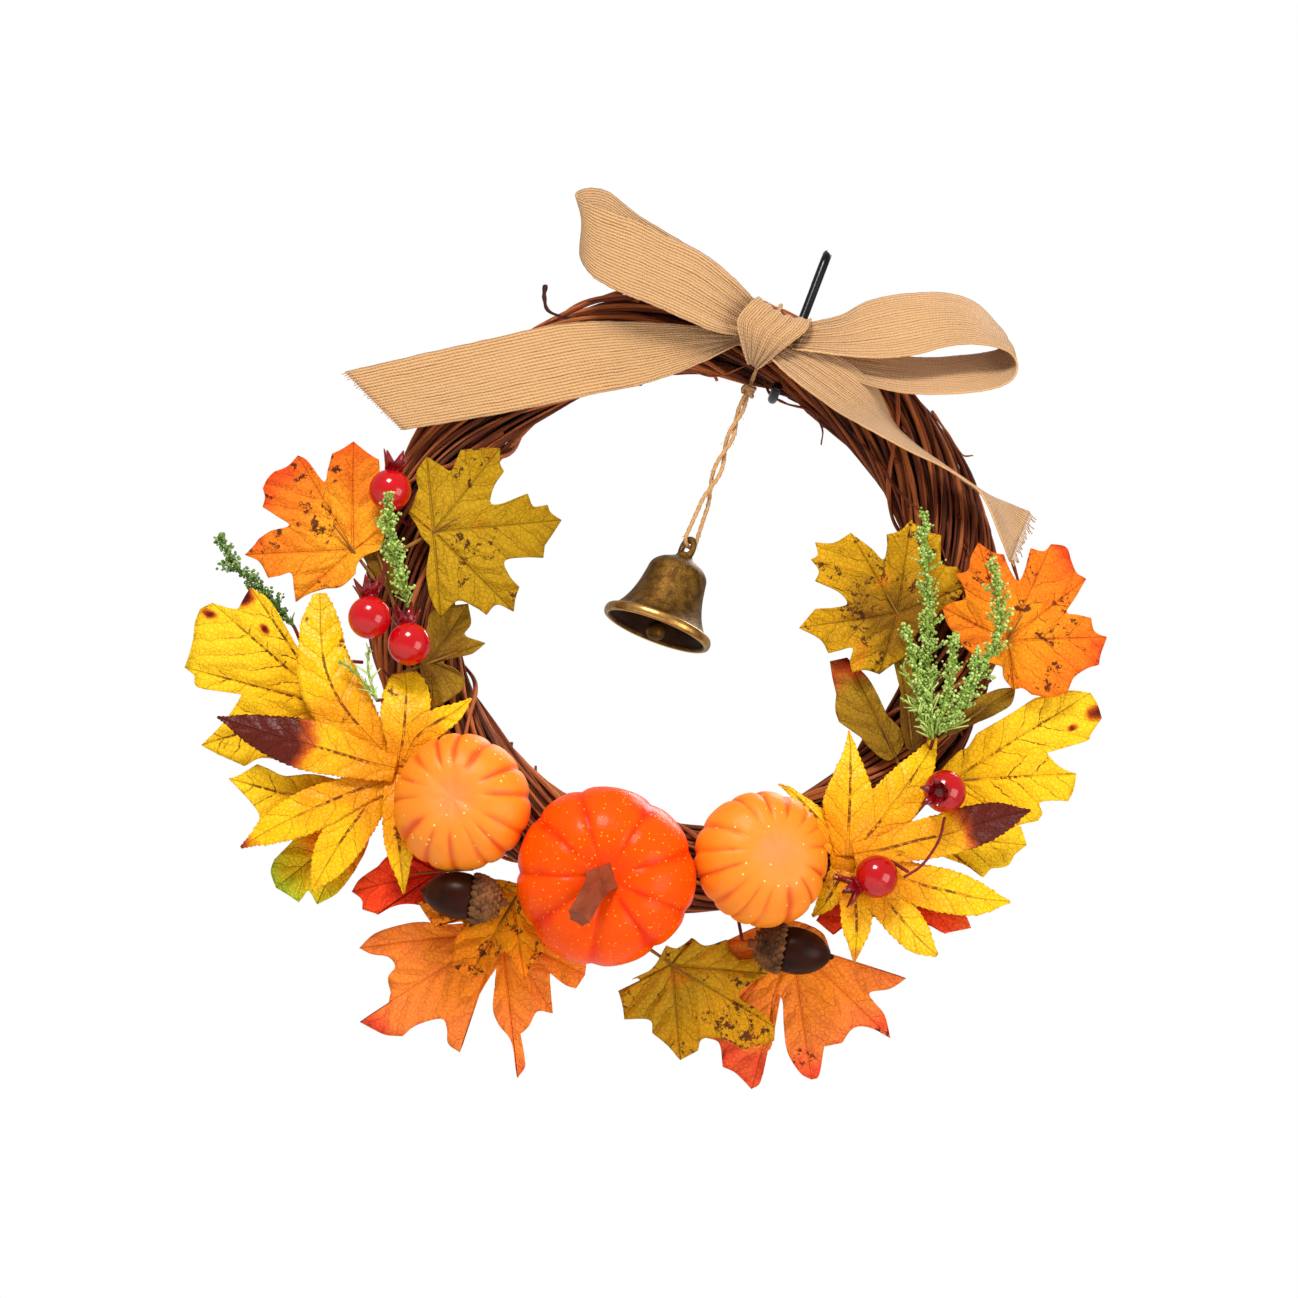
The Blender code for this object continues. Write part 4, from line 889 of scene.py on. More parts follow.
# %% Leaf outlines
LEAVES = [  # name, print, foot, layer, outline
    ("leaf_orange_left", "orange", (-100.8, -28.0), 1, [
        (-12.5, 32.6, 2), (-15, 28.6), (-17.1, 26.2, 1), (-16.4, 20.7), (-16.2, 17.1), (-23.4, 21.6),
        (-26.8, 22.2, 2), (-28.5, 18), (-31.8, 14.8, 1), (-32.9, 12.1), (-33.2, 8.9, 1), (-31.5, 6.4),
        (-31.1, 3.4, 1), (-26.3, 2.2), (-21.1, 0.6), (-25.8, -2.8), (-28.4, -6.4, 1), (-29.2, -9.3),
        (-30.7, -12.5, 2), (-25.7, -13.1), (-21.2, -17, 1), (-18.7, -15.5), (-15.1, -13.2), (-12.4, -17.6),
        (-10.5, -21, 2), (-7.9, -17.4), (-3.2, -14, 1), (1, -11.9), (3.6, -6.7, 1), (2.9, -3.4),
        (4.4, -0.2), (8.1, 3.3, 1), (7.5, 7.3), (7.5, 12.5, 2), (4, 16.3), (2.5, 20.9, 1), (0.3, 23.2),
        (-2.9, 29.7, 1), (-6.6, 30.4)]),
    ("leaf_olive_left", "olive", (-79.4, -14.5), 3, [
        (-10.6, 21.5, 2), (-6.2, 20.6), (-2.1, 19.7), (-1.7, 23.5), (-1.6, 27.1, 1), (3.4, 29.7),
        (9.5, 32.3, 2), (11.3, 27.6), (13.3, 25.7, 1), (12.2, 20.1), (13.3, 14.6), (18.3, 17.3),
        (22.7, 21.7, 1), (25.8, 18.7), (29.6, 20.8, 1), (31.4, 18.8), (35.3, 17.8, 2), (34.5, 13.3),
        (33.4, 8.2, 1), (34.4, 4.3, 1), (29.1, 2.4), (23.7, -0.8), (26.8, -4.7), (30.8, -6.8, 1),
        (30.9, -10.3), (31.9, -14.3, 2), (26.4, -14.2), (24.5, -18.5, 1), (20.6, -17.5), (14.7, -17.7),
        (11.7, -24.3, 2), (8.1, -21.4), (5.4, -18.3, 1), (2.7, -13.2), (1.6, -8.5), (0.6, -4.7),
        (-2.4, -3.3), (-5.7, 0), (-9.3, 2.7, 2), (-9.1, 6), (-9.3, 11.1, 1), (-11.7, 15.3)]),
    ("leaf_olive_strip", "dull", (-89.2, -31.0), 0, [
        (-14.3, 17.2, 2), (-9.8, 15.9), (-4.2, 10.8), (1.8, 6.9, 1), (6.5, 1.5), (5.6, -4), (0.2, -3.1),
        (-6.7, 1.5), (-11.8, 5.7, 1), (-14.7, 12.9)]),
    ("leaf_brown_left", "dull", (-66.0, -51.8), 0, [
        (-5, 15.5), (4.2, 21.7, 2), (7.3, 16.2), (6.9, 12), (13.7, 12, 2), (10.8, 7.1), (5.8, 4.5),
        (3.9, 1.5), (7.6, 1.1, 1), (11.7, -0.4, 2), (12, -5.1), (6.2, -13.8, 1), (3.1, -8), (-1.2, -4.6),
        (-4.8, 3.2, 1), (-4.7, 9.5)]),
    ("leaf_yellow_left", "yellow", (-89.1, -76.1), 2, [
        (-17.6, 13), (-24.1, 18.1), (-27.5, 22.9), (-31.5, 25.4, 1), (-36.8, 26.5, 2), (-37.4, 22.6),
        (-37.7, 18.9, 1), (-39.2, 18.3), (-42.1, 18, 1), (-46.1, 18, 2), (-48.9, 15, 1), (-48.8, 10.5),
        (-47.4, 5.7, 1), (-46.8, 1), (-46.8, -3.3, 2), (-43, -4.6, 1), (-40.7, -7.8), (-32, -5.9),
        (-27.2, -5), (-27.8, -10.3), (-28.9, -14.9, 1), (-30.7, -19.1), (-33.1, -23.9, 2), (-27.4, -24.9),
        (-18.1, -25.8, 1), (-13.8, -21.6), (-4.5, -20, 1), (4.1, -11.6), (8.9, -3.6, 1), (6.5, 7.6),
        (-2.2, 14.4, 2), (-9.8, 13.5)]),
    ("leaf_green_left", "green", (-70.0, -108.3), 0, [
        (-13.4, -6.2), (-16, -12.2), (-18.1, -17.1, 1), (-17.7, -20.9), (-14.5, -24.7, 2), (-10.2, -25.5),
        (-6.4, -26.4, 1), (-5.2, -22.1), (-1, -25, 2), (3.1, -20.4), (4.9, -16.2, 1), (5.9, -12, 2),
        (6.8, -4.4), (5.6, 1.2), (-0.5, 3.8), (-8.8, -0.4)]),
    ("leaf_red_left", "red", (-40.5, -111.6), 1, [
        (-22, -14.6, 2), (-21.1, -10.2), (-17.4, -4.8, 1), (-15.6, -0.7), (-11.2, 1.5, 2), (-5.1, 5.8),
        (1.2, 4.4), (3.7, -4.5), (1.3, -10.8, 1), (-4.9, -12.2), (-9.1, -14.9), (-12.1, -18.4, 2),
        (-17, -18.6, 1), (-18.3, -15.9)]),
    ("leaf_peach_left", "peach", (-16.2, -120.5), 0, [
        (-38.4, -19.7, 2), (-34.1, -20.2), (-29.2, -19.3), (-26, -21.3), (-26.9, -25), (-24.5, -28.9, 1),
        (-23.7, -34.5), (-25.2, -38.2), (-30.1, -40.3, 2), (-25, -41), (-21.1, -41.2), (-16.3, -39.8, 1),
        (-13.7, -35.5), (-7.3, -31), (-4.6, -32.9), (-2.6, -37), (1.7, -38.2, 2), (0.1, -36), (0.8, -30.8),
        (0.9, -21.1), (2.5, -12.7), (3.8, -9.8), (5.6, -14.5), (6.1, -22), (9.7, -26.5), (15.4, -30.1),
        (20.9, -39.4, 2), (21.6, -34.5), (16, -28.4, 1), (18.4, -24.1), (19.3, -18.9), (23.9, -17.6, 2),
        (20.8, -11.5), (18.9, -6.4), (24, -8.4), (27.8, -8.3, 1), (28.9, -3.5, 2), (27.3, 0.7), (22, 4.5),
        (12.1, 7.6), (2.9, 6.5), (-10.5, -1.6), (-18.7, -5.3, 1), (-24.1, -6.4), (-29.6, -9.5),
        (-35.5, -14.2)]),
    ("leaf_amber_left", "amber", (-15.7, -112.2), 2, [
        (-26.8, -10.3, 1), (-23.4, -12.9), (-19.5, -15.5, 2), (-15, -12.4), (-11.6, -11.3), (-12.2, -18.3),
        (-10.5, -24, 1), (-7.8, -25.9), (-4.3, -25.2, 2), (0.7, -23.1, 1), (1.2, -19.5), (2.9, -14.9),
        (7.1, -17.2), (11.7, -20.5, 2), (12.1, -15.3), (14.2, -10.6, 1), (12.1, -5.1), (7, 0.8), (1.3, 5.4),
        (-7.9, 4.3), (-15, 0.1), (-22, -6.5)]),
    ("leaf_olive_right", "mixed", (63.3, 14.5), 2, [
        (-22.4, 18.8, 2), (-18.9, 17.7), (-14.4, 16.3), (-10.1, 14.3), (-10.4, 18.8), (-11.8, 22.3, 1),
        (-8.2, 25.2), (-6.3, 29.8, 2), (-1.9, 27.6), (4.1, 28.2, 1), (5.4, 24.1), (7.7, 19.5),
        (12.3, 20.4, 1), (16.8, 15.8, 2), (15.7, 10.8), (12.2, 5.7), (10.5, 0.5, 1), (7.2, -5.3),
        (7.4, -10.7), (4, -15.6, 1), (1.1, -20.1, 2), (-3.2, -20.5), (-7, -22.8, 1), (-8.8, -19.8),
        (-9.5, -15.5), (-13.4, -18), (-15.9, -19.8, 1), (-19.6, -16.8), (-27.1, -15.6, 2), (-25.4, -10.8),
        (-24.5, -8.3, 1), (-19.2, -5.7), (-15.8, -3), (-19.8, -0.5), (-27.6, 0.1, 1), (-27.6, 3.8),
        (-31.1, 6.2, 1), (-29.7, 8.4), (-31.7, 11.8, 1), (-26.4, 13.8)]),
    ("leaf_orange_right", "fiery", (97.9, 18.5), 3, [
        (-19, 25.9, 2), (-19.6, 20.6), (-19.1, 16.2), (-22.2, 13.6, 1), (-18.9, 10.8), (-16.9, 7.5),
        (-20.3, 4.8), (-22.5, 2.1, 2), (-19.2, -2.1), (-12.7, -6.8, 1), (-6.6, -8.9), (-1.4, -8.7),
        (1.3, -8.5, 1), (2.8, -11.6), (6.8, -13.8, 2), (9.3, -12.6), (12.7, -13.3, 1), (18.4, -11.9),
        (22.9, -8.2, 1), (23.3, -3.1), (26.2, 1.2), (29.3, 3.8, 1), (28.8, 7.7), (28.9, 13.2, 2),
        (24.6, 13.3), (22.1, 16.9, 1), (17.5, 16), (14.3, 15.5), (15.5, 21.6), (16.7, 28.3, 2), (13, 28.8),
        (10.3, 31.5, 1), (7.3, 34.9), (2.6, 34.1, 2), (1.1, 31), (-3.1, 30, 1), (-2.5, 24.6), (-3.1, 18.8),
        (-6.5, 20.7), (-10.4, 24.9, 1), (-14, 24.4)]),
    ("leaf_yellow_right", "yellow", (96.3, -28.5), 1, [
        (-0.9, 9), (1.6, 11.8), (2.9, 17, 1), (9.9, 25.9), (15.9, 34.1, 1), (25.2, 40.5), (32, 42.7, 2),
        (35.1, 40.2), (37.9, 36.4, 1), (36.3, 30.3, 1), (35.8, 27.9), (29.1, 24.3), (23.5, 21.3),
        (27.7, 18.4), (31.6, 17.2), (36.4, 17.4, 2), (37.3, 12.2), (36.9, 8.3, 1), (33.4, 7.1), (28.6, 4.4),
        (30.5, 1.5), (29.9, -1.2, 1), (25, -4.4, 2), (17.8, -8.8), (9.8, -11), (1.6, -7.9), (-3.8, -0.2)]),
    ("leaf_gold_right", "yellow", (96.4, -46.1), 0, [
        (13.8, 8.6), (25.4, 13.1, 1), (29.3, 8.3, 2), (26.8, 4.2, 1), (25.7, -0.2), (21.3, -2.8, 1),
        (19.9, -6.2, 2), (14.1, -4.7), (5.2, -4.6), (-0.8, -2.5), (2.7, 2.5)]),
    ("leaf_tip_right", "rusty", (76.0, -24.8), 0, [
        (-27.1, 18.3, 1), (-22.5, 21.6, 2), (-18.4, 19.9), (-12.7, 16.7), (-4.6, 9, 1), (2, 5.3), (3, 0.2),
        (0.2, -4.4), (-6.6, -2.6), (-10.1, -0.4, 1), (-17.9, 1.6, 1), (-20.3, 4.7), (-21.7, 9.5, 1),
        (-24.6, 13.8)]),
    ("leaf_strip_right", "dull", (80.5, -19.9), 1, [
        (-14.9, 27.8, 2), (-10.4, 24), (-5.2, 16.9), (0.8, 7.5), (3.9, -1.2), (0.6, -4.2), (-3.8, 1.2),
        (-7.3, 9.8, 1), (-8.3, 15.7), (-14, 21.6)]),
    ("leaf_small_right", "dull", (94.0, -9.7), 0, [
        (11.8, 16.9, 2), (12.2, 11.1), (8.5, 6.1, 1), (3.3, 0.9), (-1.2, -4.1), (-3.3, -4.4), (-0.6, 4.3),
        (2.5, 10.5, 1), (7.3, 14.6)]),
    ("leaf_red_right", "red", (88.5, -69.8), 1, [
        (8.8, 9.1), (19.8, 9.6, 1), (27.4, 3.4, 2), (29.4, 1.1, 1), (22.5, -3.3, 2), (17.5, -2.8),
        (10.9, -3.4), (0.4, -6.5, 1), (-5.9, -10.4), (-9.6, -16.3, 2), (-16.1, -14.3, 1), (-14.4, -8.4),
        (-8, 0.7)]),
    ("leaf_peach_right", "peach", (67.4, -92.1), 0, [
        (37.7, 2.8, 2), (34.1, -2.1), (28.6, -5.5), (31.3, -7.7, 1), (35.5, -9.9), (39.8, -15.6, 2),
        (33, -15.1), (27.9, -17.1), (26.1, -22.7, 1), (21.4, -25.7, 1), (23.1, -34.2), (21.4, -36.2, 2),
        (17.4, -35.7), (11.5, -31.4), (7.5, -24.4), (4.1, -17.2), (1.3, -17.9), (6, -30.7), (5.4, -33.7, 1),
        (7, -42.5), (5.2, -45.5, 2), (-1, -42.9), (-5.5, -42.6, 1), (-9.2, -36.5), (-14, -36.4, 2),
        (-12.6, -27.4), (-10.3, -18), (-17.2, -12.2, 1), (-18.2, -7.1, 2), (-11.9, -0.6), (-3.5, 5.5),
        (7.9, 6.1), (13.8, 0.7), (19.2, -1), (25.3, 0.9)]),
    ("leaf_olive_bottom", "spotted", (36.1, -112.4), 1, [
        (-3.7, 4.8, 1), (-0.1, 5.4), (2.8, 9.8, 2), (7.7, 9.1), (13, 13.1, 1), (14.9, 10.5), (20.3, 8.8),
        (26.2, 12.5, 1), (28.3, 8.1, 2), (24.3, 3.2), (22.3, -1.8), (30.7, -3.7), (36, -6.4, 2),
        (37.2, -10.3, 1), (29.5, -16.1, 1), (22.5, -15.3), (16.6, -17.6), (16.6, -21.3, 1),
        (12.6, -25.9, 2), (7.2, -23.1), (1.8, -21.4, 1), (-0.4, -18), (-7.6, -20.5, 1), (-9.4, -17.2),
        (-12.3, -13.2, 2), (-6.6, -9.1), (-8.3, -7.4), (-9.8, -8.5, 1), (-5.1, -2.9)]),
    ("leaf_lobe_left", "yellow", (-82.9, -105.5), 3, [
        (-26.9, -2.4, 2), (-24.4, -0.5), (-20.2, 4.5, 1), (-16.2, 4.4), (-11, 4.2), (-3, 7.7), (8.1, 9, 1),
        (12.6, 4.9), (8.3, -2.6), (0.5, -8.6), (-6.2, -13.4), (-11.9, -16.3, 1), (-13.1, -12.4),
        (-14.3, -9.2), (-19.3, -6)]),
]


OUTLINE_STEP = 0.8


def evenly(run, count):
    """The run's points moved to count equal steps along it."""
    reach = [0.0]
    for a, b in zip(run, run[1:]):
        reach.append(reach[-1] + (b - a).length)
    points, spot = [], 0
    for step in range(count + 1):
        goal = reach[-1] * step / count
        while spot < len(run) - 2 and reach[spot + 1] < goal:
            spot += 1
        gap = (reach[spot + 1] - reach[spot]) or 1.0
        points.append(run[spot].lerp(run[spot + 1], (goal - reach[spot]) / gap))
    return points


def leaf_edge(points):
    """The smooth outline in even steps, and the numbers of its main tips."""
    sharp = [index for index, point in enumerate(points) if len(point) == 3]
    points = points[sharp[0]:] + points[:sharp[0]] + [points[sharp[0]]]
    sharp = [index for index, point in enumerate(points) if len(point) == 3]
    edge, tips = [], []
    for start, end in zip(sharp, sharp[1:]):
        if points[start][2] == 2:
            tips.append(len(edge))
        run = curve_through([(point[0], 0, point[1]) for point in points[start:end + 1]], 8)
        edge += evenly(run, max(2, round(run_length(run) / OUTLINE_STEP)))[:-1]
    return edge, tips or [max(range(len(edge)), key=lambda index: edge[index].length)]


def lobe_numbers(edge, tips):
    """Which main vein each point of the outline belongs to: the change is at the deepest notch."""
    count = len(edge)
    owner = [0] * count
    for number, tip in enumerate(tips):
        after = tips[(number + 1) % len(tips)] + (count if number + 1 == len(tips) else 0)
        notch = min(range(tip, after + 1), key=lambda index: edge[index % count].length)
        for index in range(tip, after):
            owner[index % count] = number if index <= notch else (number + 1) % len(tips)
    return owner


print(len(LEAVES), "leaf outlines")

# %% [markdown]
# The relief is in the mesh: each middle vein lies in a shallow crease, the lobes are gently cupped
# and waved, and whatever reaches beyond the ring bends back. The leaf's thickness is a modifier,
# and a thin stalk joins it to the bundle.

# %% Broad leaves
RINGS = 14
CLOTH_THICK, GLOSSY_THICK = 0.00035, 0.0004
SCORCHED = {"leaf_yellow_left": [(-37.7, 23.1, 3.4), (-45.9, 14.8, 1.8), (-28.3, 15.7, 1.2)],
            "leaf_yellow_right": [(35.5, 37.0, 3.0), (30.7, 30.1, 1.5)]}
BEND_BACK = {"leaf_peach_left": 7.0, "leaf_peach_right": 6.0, "leaf_yellow_left": 6.0,
             "leaf_orange_left": 5.0, "leaf_orange_right": 4.0, "leaf_yellow_right": 5.0}


def broad_leaf(node_name, look_name, hub, layer, points):
    edge, tips = leaf_edge(points)
    owner = lobe_numbers(edge, tips)
    count = len(edge)
    veins = [edge[tip].normalized() for tip in tips]
    size = max(edge[tip].length for tip in tips)
    chance = random.Random(node_name)
    phases = [chance.uniform(0, math.tau) for _ in range(3)]
    bm = bmesh.new()
    uv = bm.loops.layers.uv.new("lobe")
    reach_layer = bm.verts.layers.float.new("reach")
    burn_layer = bm.verts.layers.float.new("burn")
    bmesh.ops.create_grid(bm, x_segments=count, y_segments=RINGS, size=1.0, calc_uvs=True)
    bm.verts.ensure_lookup_table()

    def flat_point(vert):
        index = grid_step(vert, count) % count
        share = ((vert.co.y + 1) / 2) ** 0.9
        return index, share, edge[index] * share

    for face in bm.faces:
        middle = face.calc_center_median()
        vein = veins[owner[int((middle.x + 1) / 2 * count) % count]]
        for loop in face.loops:
            spot = flat_point(loop.vert)[2]
            loop[uv].uv = (spot.dot(vein), spot.x * vein.z - spot.z * vein.x)
    places = []
    for vert in bm.verts:
        index, share, spot = flat_point(vert)
        vein = veins[owner[index]]
        beside = abs(spot.x * vein.z - spot.z * vein.x)
        reach = spot.length / size
        vert[reach_layer] = reach
        vert[burn_layer] = sum(math.exp(-((spot.x - x) ** 2 + (spot.z - z) ** 2) / size_mm**2)
                               for x, z, size_mm in SCORCHED.get(node_name, ()))
        crease = 0.5 * math.exp(-(beside / 0.9) ** 2) * min(1.0, 1.4 - share)
        cup = -0.09 * min(beside, 9.0) * share
        angle = math.atan2(spot.z, spot.x)
        wave = 0.7 * math.sin(2 * angle + phases[0]) + 0.55 * math.sin(5 * angle + phases[1])
        ripple = 0.22 * math.sin(19 * angle + phases[2]) * share**3
        out = math.hypot(hub[0] + spot.x, hub[1] + spot.z)
        back = BEND_BACK.get(node_name, 2.5) * max(0.0, (out - 96) / 40) ** 1.4
        depth = LAYER[layer] + crease + cup + wave * reach**1.6 + ripple + back
        places.append(at(hub[0] + spot.x, depth, hub[1] + spot.z))
    for vert, place in zip(bm.verts, places):
        vert.co = place
    bmesh.ops.remove_doubles(bm, verts=bm.verts, dist=2e-6)
    bmesh.ops.dissolve_degenerate(bm, edges=bm.edges, dist=1e-6)
    obj = keep(bm, node_name.removeprefix("leaf_") + "_leaf", leaf_finish[look_name], [node_name])
    thicken(obj, "cloth thickness", CLOTH_THICK)
    lean = -sum(veins, Vector()).normalized()
    return [at(hub[0] + lean.x * s, LAYER[layer] + 0.3 + s * 0.25, hub[1] + lean.z * s)
            for s in (-9, -5, -1, 3, 7, 11)]


stalks = bmesh.new()
for leaf in LEAVES:
    run = curve_through(broad_leaf(*leaf), 3)
    sweep(stalks, run, lambda index, angle: 0.00022 + 0.00003 * index, sides=7, tone=0.5)
stalk_finish = grained("leaf stalks", (150, 104, 40), (96, 52, 24), 500.0, 0.6, 0.0002)
keep(stalks, "leaf_stalks", stalk_finish)

# %% [markdown]
# The two glossy leaves have long toothed fingers. Each finger is a strip about its own middle vein,
# given as x, z and half its width, and the fingers fan out from one foot. The strips lie a hair's
# breadth apart there, so that they overlap cleanly. One finger of each leaf has a scorched tip.

# %% Fingered leaves
FINGERS = {
    "left": [
        ([(-63, -87, 0.68), (-69.4, -84.4, 3.1), (-78.5, -79.9, 6.5), (-87.1, -74.4, 8.8),
          (-94.4, -66.9, 8.8), (-99.7, -57.1, 7.2), (-102.9, -49.4, 5.8), (-104.9, -44.9, 2.1)], 0),
        ([(-62.4, -86.8, 0.68), (-64.4, -78.8, 3.3), (-66.8, -70.9, 6.3), (-69, -64.3, 7.4),
          (-70.8, -60.6, 6.8), (-71.8, -58.8, 3.8)], 0),
        ([(-61.3, -84.9, 0.68), (-60.6, -77.3, 2.7), (-56.7, -70.6, 3.8), (-52.9, -65.5, 2.9),
          (-49.9, -59.1, 0.21)], 0),
        ([(-63.1, -88.6, 0.55), (-71, -89.8, 3.8), (-81.5, -90.6, 6.3), (-91.2, -91.5, 7.4),
          (-101, -92.3, 6.3), (-109.6, -92.4, 4), (-119.3, -92.5, 0.14)], 0.6),
        ([(-62.7, -90.6, 0.55), (-68.6, -95.8, 3.1), (-76.5, -103.3, 5.5), (-83.7, -110.5, 6.3),
          (-90.8, -117.9, 4.5), (-98.1, -126.6, 0.27)], 0.14),
        ([(-62.2, -91.9, 0.55), (-65.5, -98.3, 3.4), (-68.2, -105.9, 5.8), (-70.5, -114.8, 6.5),
          (-72.1, -123.4, 4.9), (-73.4, -131.1, 0.34)], 0),
        ([(-62, -89.6, 0.55), (-59.5, -97.4, 2.3), (-56.1, -104.8, 3.8), (-53, -110.9, 4.2),
          (-49.9, -117, 2.7), (-47.3, -122.1, 0.21)], 0),
    ],
    "right": [
        ([(74, -63.5, 0.47), (71.4, -55.8, 4.7), (68.9, -47.9, 7.7), (66, -38.9, 5.6), (63.7, -31.6, 2.6),
          (61.5, -26.2, 0.12)], 0),
        ([(74.7, -62, 0.47), (78.5, -53.6, 4.1), (81.4, -44.3, 6.7), (83.9, -35.7, 7), (85.9, -27.4, 5.8),
          (86.8, -21.3, 3.5), (87.3, -18.2, 0.82)], 0),
        ([(75.7, -62.9, 0.47), (83.8, -57.9, 2.6), (91.2, -52.5, 5.2), (98.7, -47.4, 6.2),
          (106, -41.7, 6.3), (113.3, -35.7, 4.6), (122, -29.3, 0.12)], 0.5),
        ([(77.6, -64.7, 0.47), (87.3, -64.1, 3.4), (97.2, -64, 5.8), (107.3, -62.6, 6.5), (116.1, -61.1, 5),
          (125.6, -58, 0.35)], 0),
        ([(78.4, -66.9, 0.47), (84.5, -70.1, 3.4), (91.2, -73.2, 5.2), (98.1, -76.8, 5.6),
          (104, -79.5, 4.5), (110.3, -81.4, 0.59)], 0),
        ([(76.9, -68.1, 0.47), (79.9, -73.8, 2.9), (82.5, -79.1, 4.2), (84.7, -84.4, 4.4),
          (86.3, -88.8, 2.6), (87.5, -92.4, 0.18)], 0),
        ([(74.3, -66, 0.47), (74.1, -70.4, 2.6), (73.5, -75.7, 3.2), (72.5, -79.8, 2.6),
          (70.8, -83.6, 0.47)], 0),
        ([(73.1, -62.7, 0.47), (66.7, -58.8, 2.6), (61.3, -55.9, 2.8), (55.9, -53, 2.5), (51.2, -50.4, 1.5),
          (47.1, -49.3, 0.12)], 0),
    ],
}
RISE = {"left": (2.5, 1.0, 0.0, -1.0, 1.5, 2.2, 0.5),
        "right": (0.5, 1.2, -0.8, 0.0, 1.0, 1.6, 2.2, 1.8)}
FOOT = {"left": (-62.1, -87.4), "right": (74.3, -64.2)}
FINGER_STEP, FINGER_ACROSS, FINGER_DEPTH, FINGER_DROOP = 0.55, 16, -27.3, 3.2


def finger(bm, stations, scorched, lift, chance):
    line = curve_through([(x, 0, z) for x, z, _ in stations], 10)
    widths = curve_through([(half, 0, 0) for _, _, half in stations], 10)
    length = run_length(line)
    count = max(24, round(length / FINGER_STEP))
    line = evenly(line, count)
    uv = layer_named(bm.loops.layers.uv, "lobe")
    reach_layer = layer_named(bm.verts.layers.float, "reach")
    burn_layer = layer_named(bm.verts.layers.float, "burn")
    made = bmesh.ops.create_grid(bm, x_segments=count, y_segments=FINGER_ACROSS, size=1.0,
                                 calc_uvs=True)["verts"]
    phase = chance.uniform(0, math.tau)
    places = {}
    for vert in made:
        index = grid_step(vert, count)
        part = index / count
        share = vert.co.y
        heading = (line[min(index + 1, count)] - line[max(index - 1, 0)]).normalized()
        beside = Vector((heading.z, 0, -heading.x))
        half = widths[round(part * (len(widths) - 1))].x + 3.4 * (1 - part) ** 3.5
        tooth = 0.5 * ((part * length / 2.0 + (0.5 if share > 0 else 0)) % 1.0) * min(1, half / 3)
        half = max(0.1, half + (tooth - 0.25) * (1 if abs(share) > 0.99 else abs(share) ** 6))
        fold = 0.4 * half * abs(share) ** 0.8 * (0.6 + 0.4 * math.sin(2.6 * part + phase))
        arch = lift - FINGER_DROOP * math.sin(math.pi * min(1.0, part * 0.85 + 0.08)) + 4.2 * part**2.4
        wave = 0.35 * math.sin(9 * part + phase + 2 * share) * abs(share)
        spot = line[index] + beside * (half * share)
        places[vert] = (at(spot.x, FINGER_DEPTH + arch + fold * 0.55 + wave, spot.z),
                        part * length, half * share)
        vert[reach_layer] = part
        vert[burn_layer] = max(0.0, min(1.0, (part - 1 + scorched) * 4.2)) if scorched else 0.0
    for face in {face for vert in made for face in vert.link_faces}:
        for loop in face.loops:
            _, along, aside = places[loop.vert]
            loop[uv].uv = (along, aside)
    for vert in made:
        vert.co = places[vert][0]


def aimed(point, direction):
    """The matrix that puts the upright axis at a point and along a direction."""
    turn = Vector(direction).to_track_quat("Z", "Y").to_matrix().to_4x4()
    return Matrix.Translation(point) @ turn


for side, fingers in FINGERS.items():
    chance = random.Random(side)
    bm = bmesh.new()
    for number, (stations, scorched) in enumerate(fingers):
        finger(bm, stations, scorched, RISE[side][number], chance)
    bmesh.ops.create_circle(bm, cap_ends=True, cap_tris=True, segments=24, radius=0.0052,
                            matrix=aimed(at(FOOT[side][0], -26.6, FOOT[side][1]), (0, -1, 0)))
    obj = keep(bm, f"fingered_leaf_{side}", leaf_finish["glossy"], [f"leaf_finger_{side}"])
    thicken(obj, "cloth thickness", GLOSSY_THICK)

# %% [markdown]
# Pumpkins, acorns and berries are painted foam. `turned` spins a profile about the upright axis,
# as on a lathe, and `aimed` puts that axis in its place. Pumpkins start as a round ball whose
# points are pulled in along the grooves and down at both ends.

# %% Turning and pumpkins
foam, given = effect("painted foam", {
    "Main": tint(246, 136, 24), "Groove": tint(228, 84, 8), "Middle": tint(248, 136, 80),
    "Fleck": tint(255, 226, 130), "Flecks": 0.25, "Scale": 430.0, "Roughness": 0.4})
place = object_place(foam)
fine = clouds(place, 420.0, 3)
share = plus(times(attribute(foam, "groove"), 0.75), minus(clouds(place, 75.0, 2), 0.5))
tone = mixed(step_between(share, 0.05, 0.7), given["Main"], given["Groove"])
tone = mixed(times(attribute(foam, "pole"), 0.7), tone, given["Middle"])
dots = node(foam, "ShaderNodeTexVoronoi", {"Vector": place, "Scale": given["Scale"]})
chosen = node(foam, "ShaderNodeSeparateColor", {0: dots.outputs["Color"]}).outputs[0]
chosen = step_between(plus(chosen, given["Flecks"]), 0.97, 1.0)
dots = times(step_between(dots.outputs["Distance"], 0.2, 0.12), chosen)
tone = mixed(times(dots, 0.8), tone, given["Fleck"])
put_out(tone, plus(fine, times(dots, 0.6)), plus(given["Roughness"], times(fine, 0.12)))
pale_orange = finish("pale pumpkin", foam, {}, 0.0002, Specular_IOR_Level=0.3)
deep_orange = finish("deep pumpkin", foam, {
    "Main": tint(250, 80, 0), "Groove": tint(232, 46, 0), "Middle": tint(232, 44, 0), "Scale": 560.0,
    "Fleck": tint(255, 170, 30), "Flecks": 1.0, "Roughness": 0.2}, 0.0002, Specular_IOR_Level=0.09)


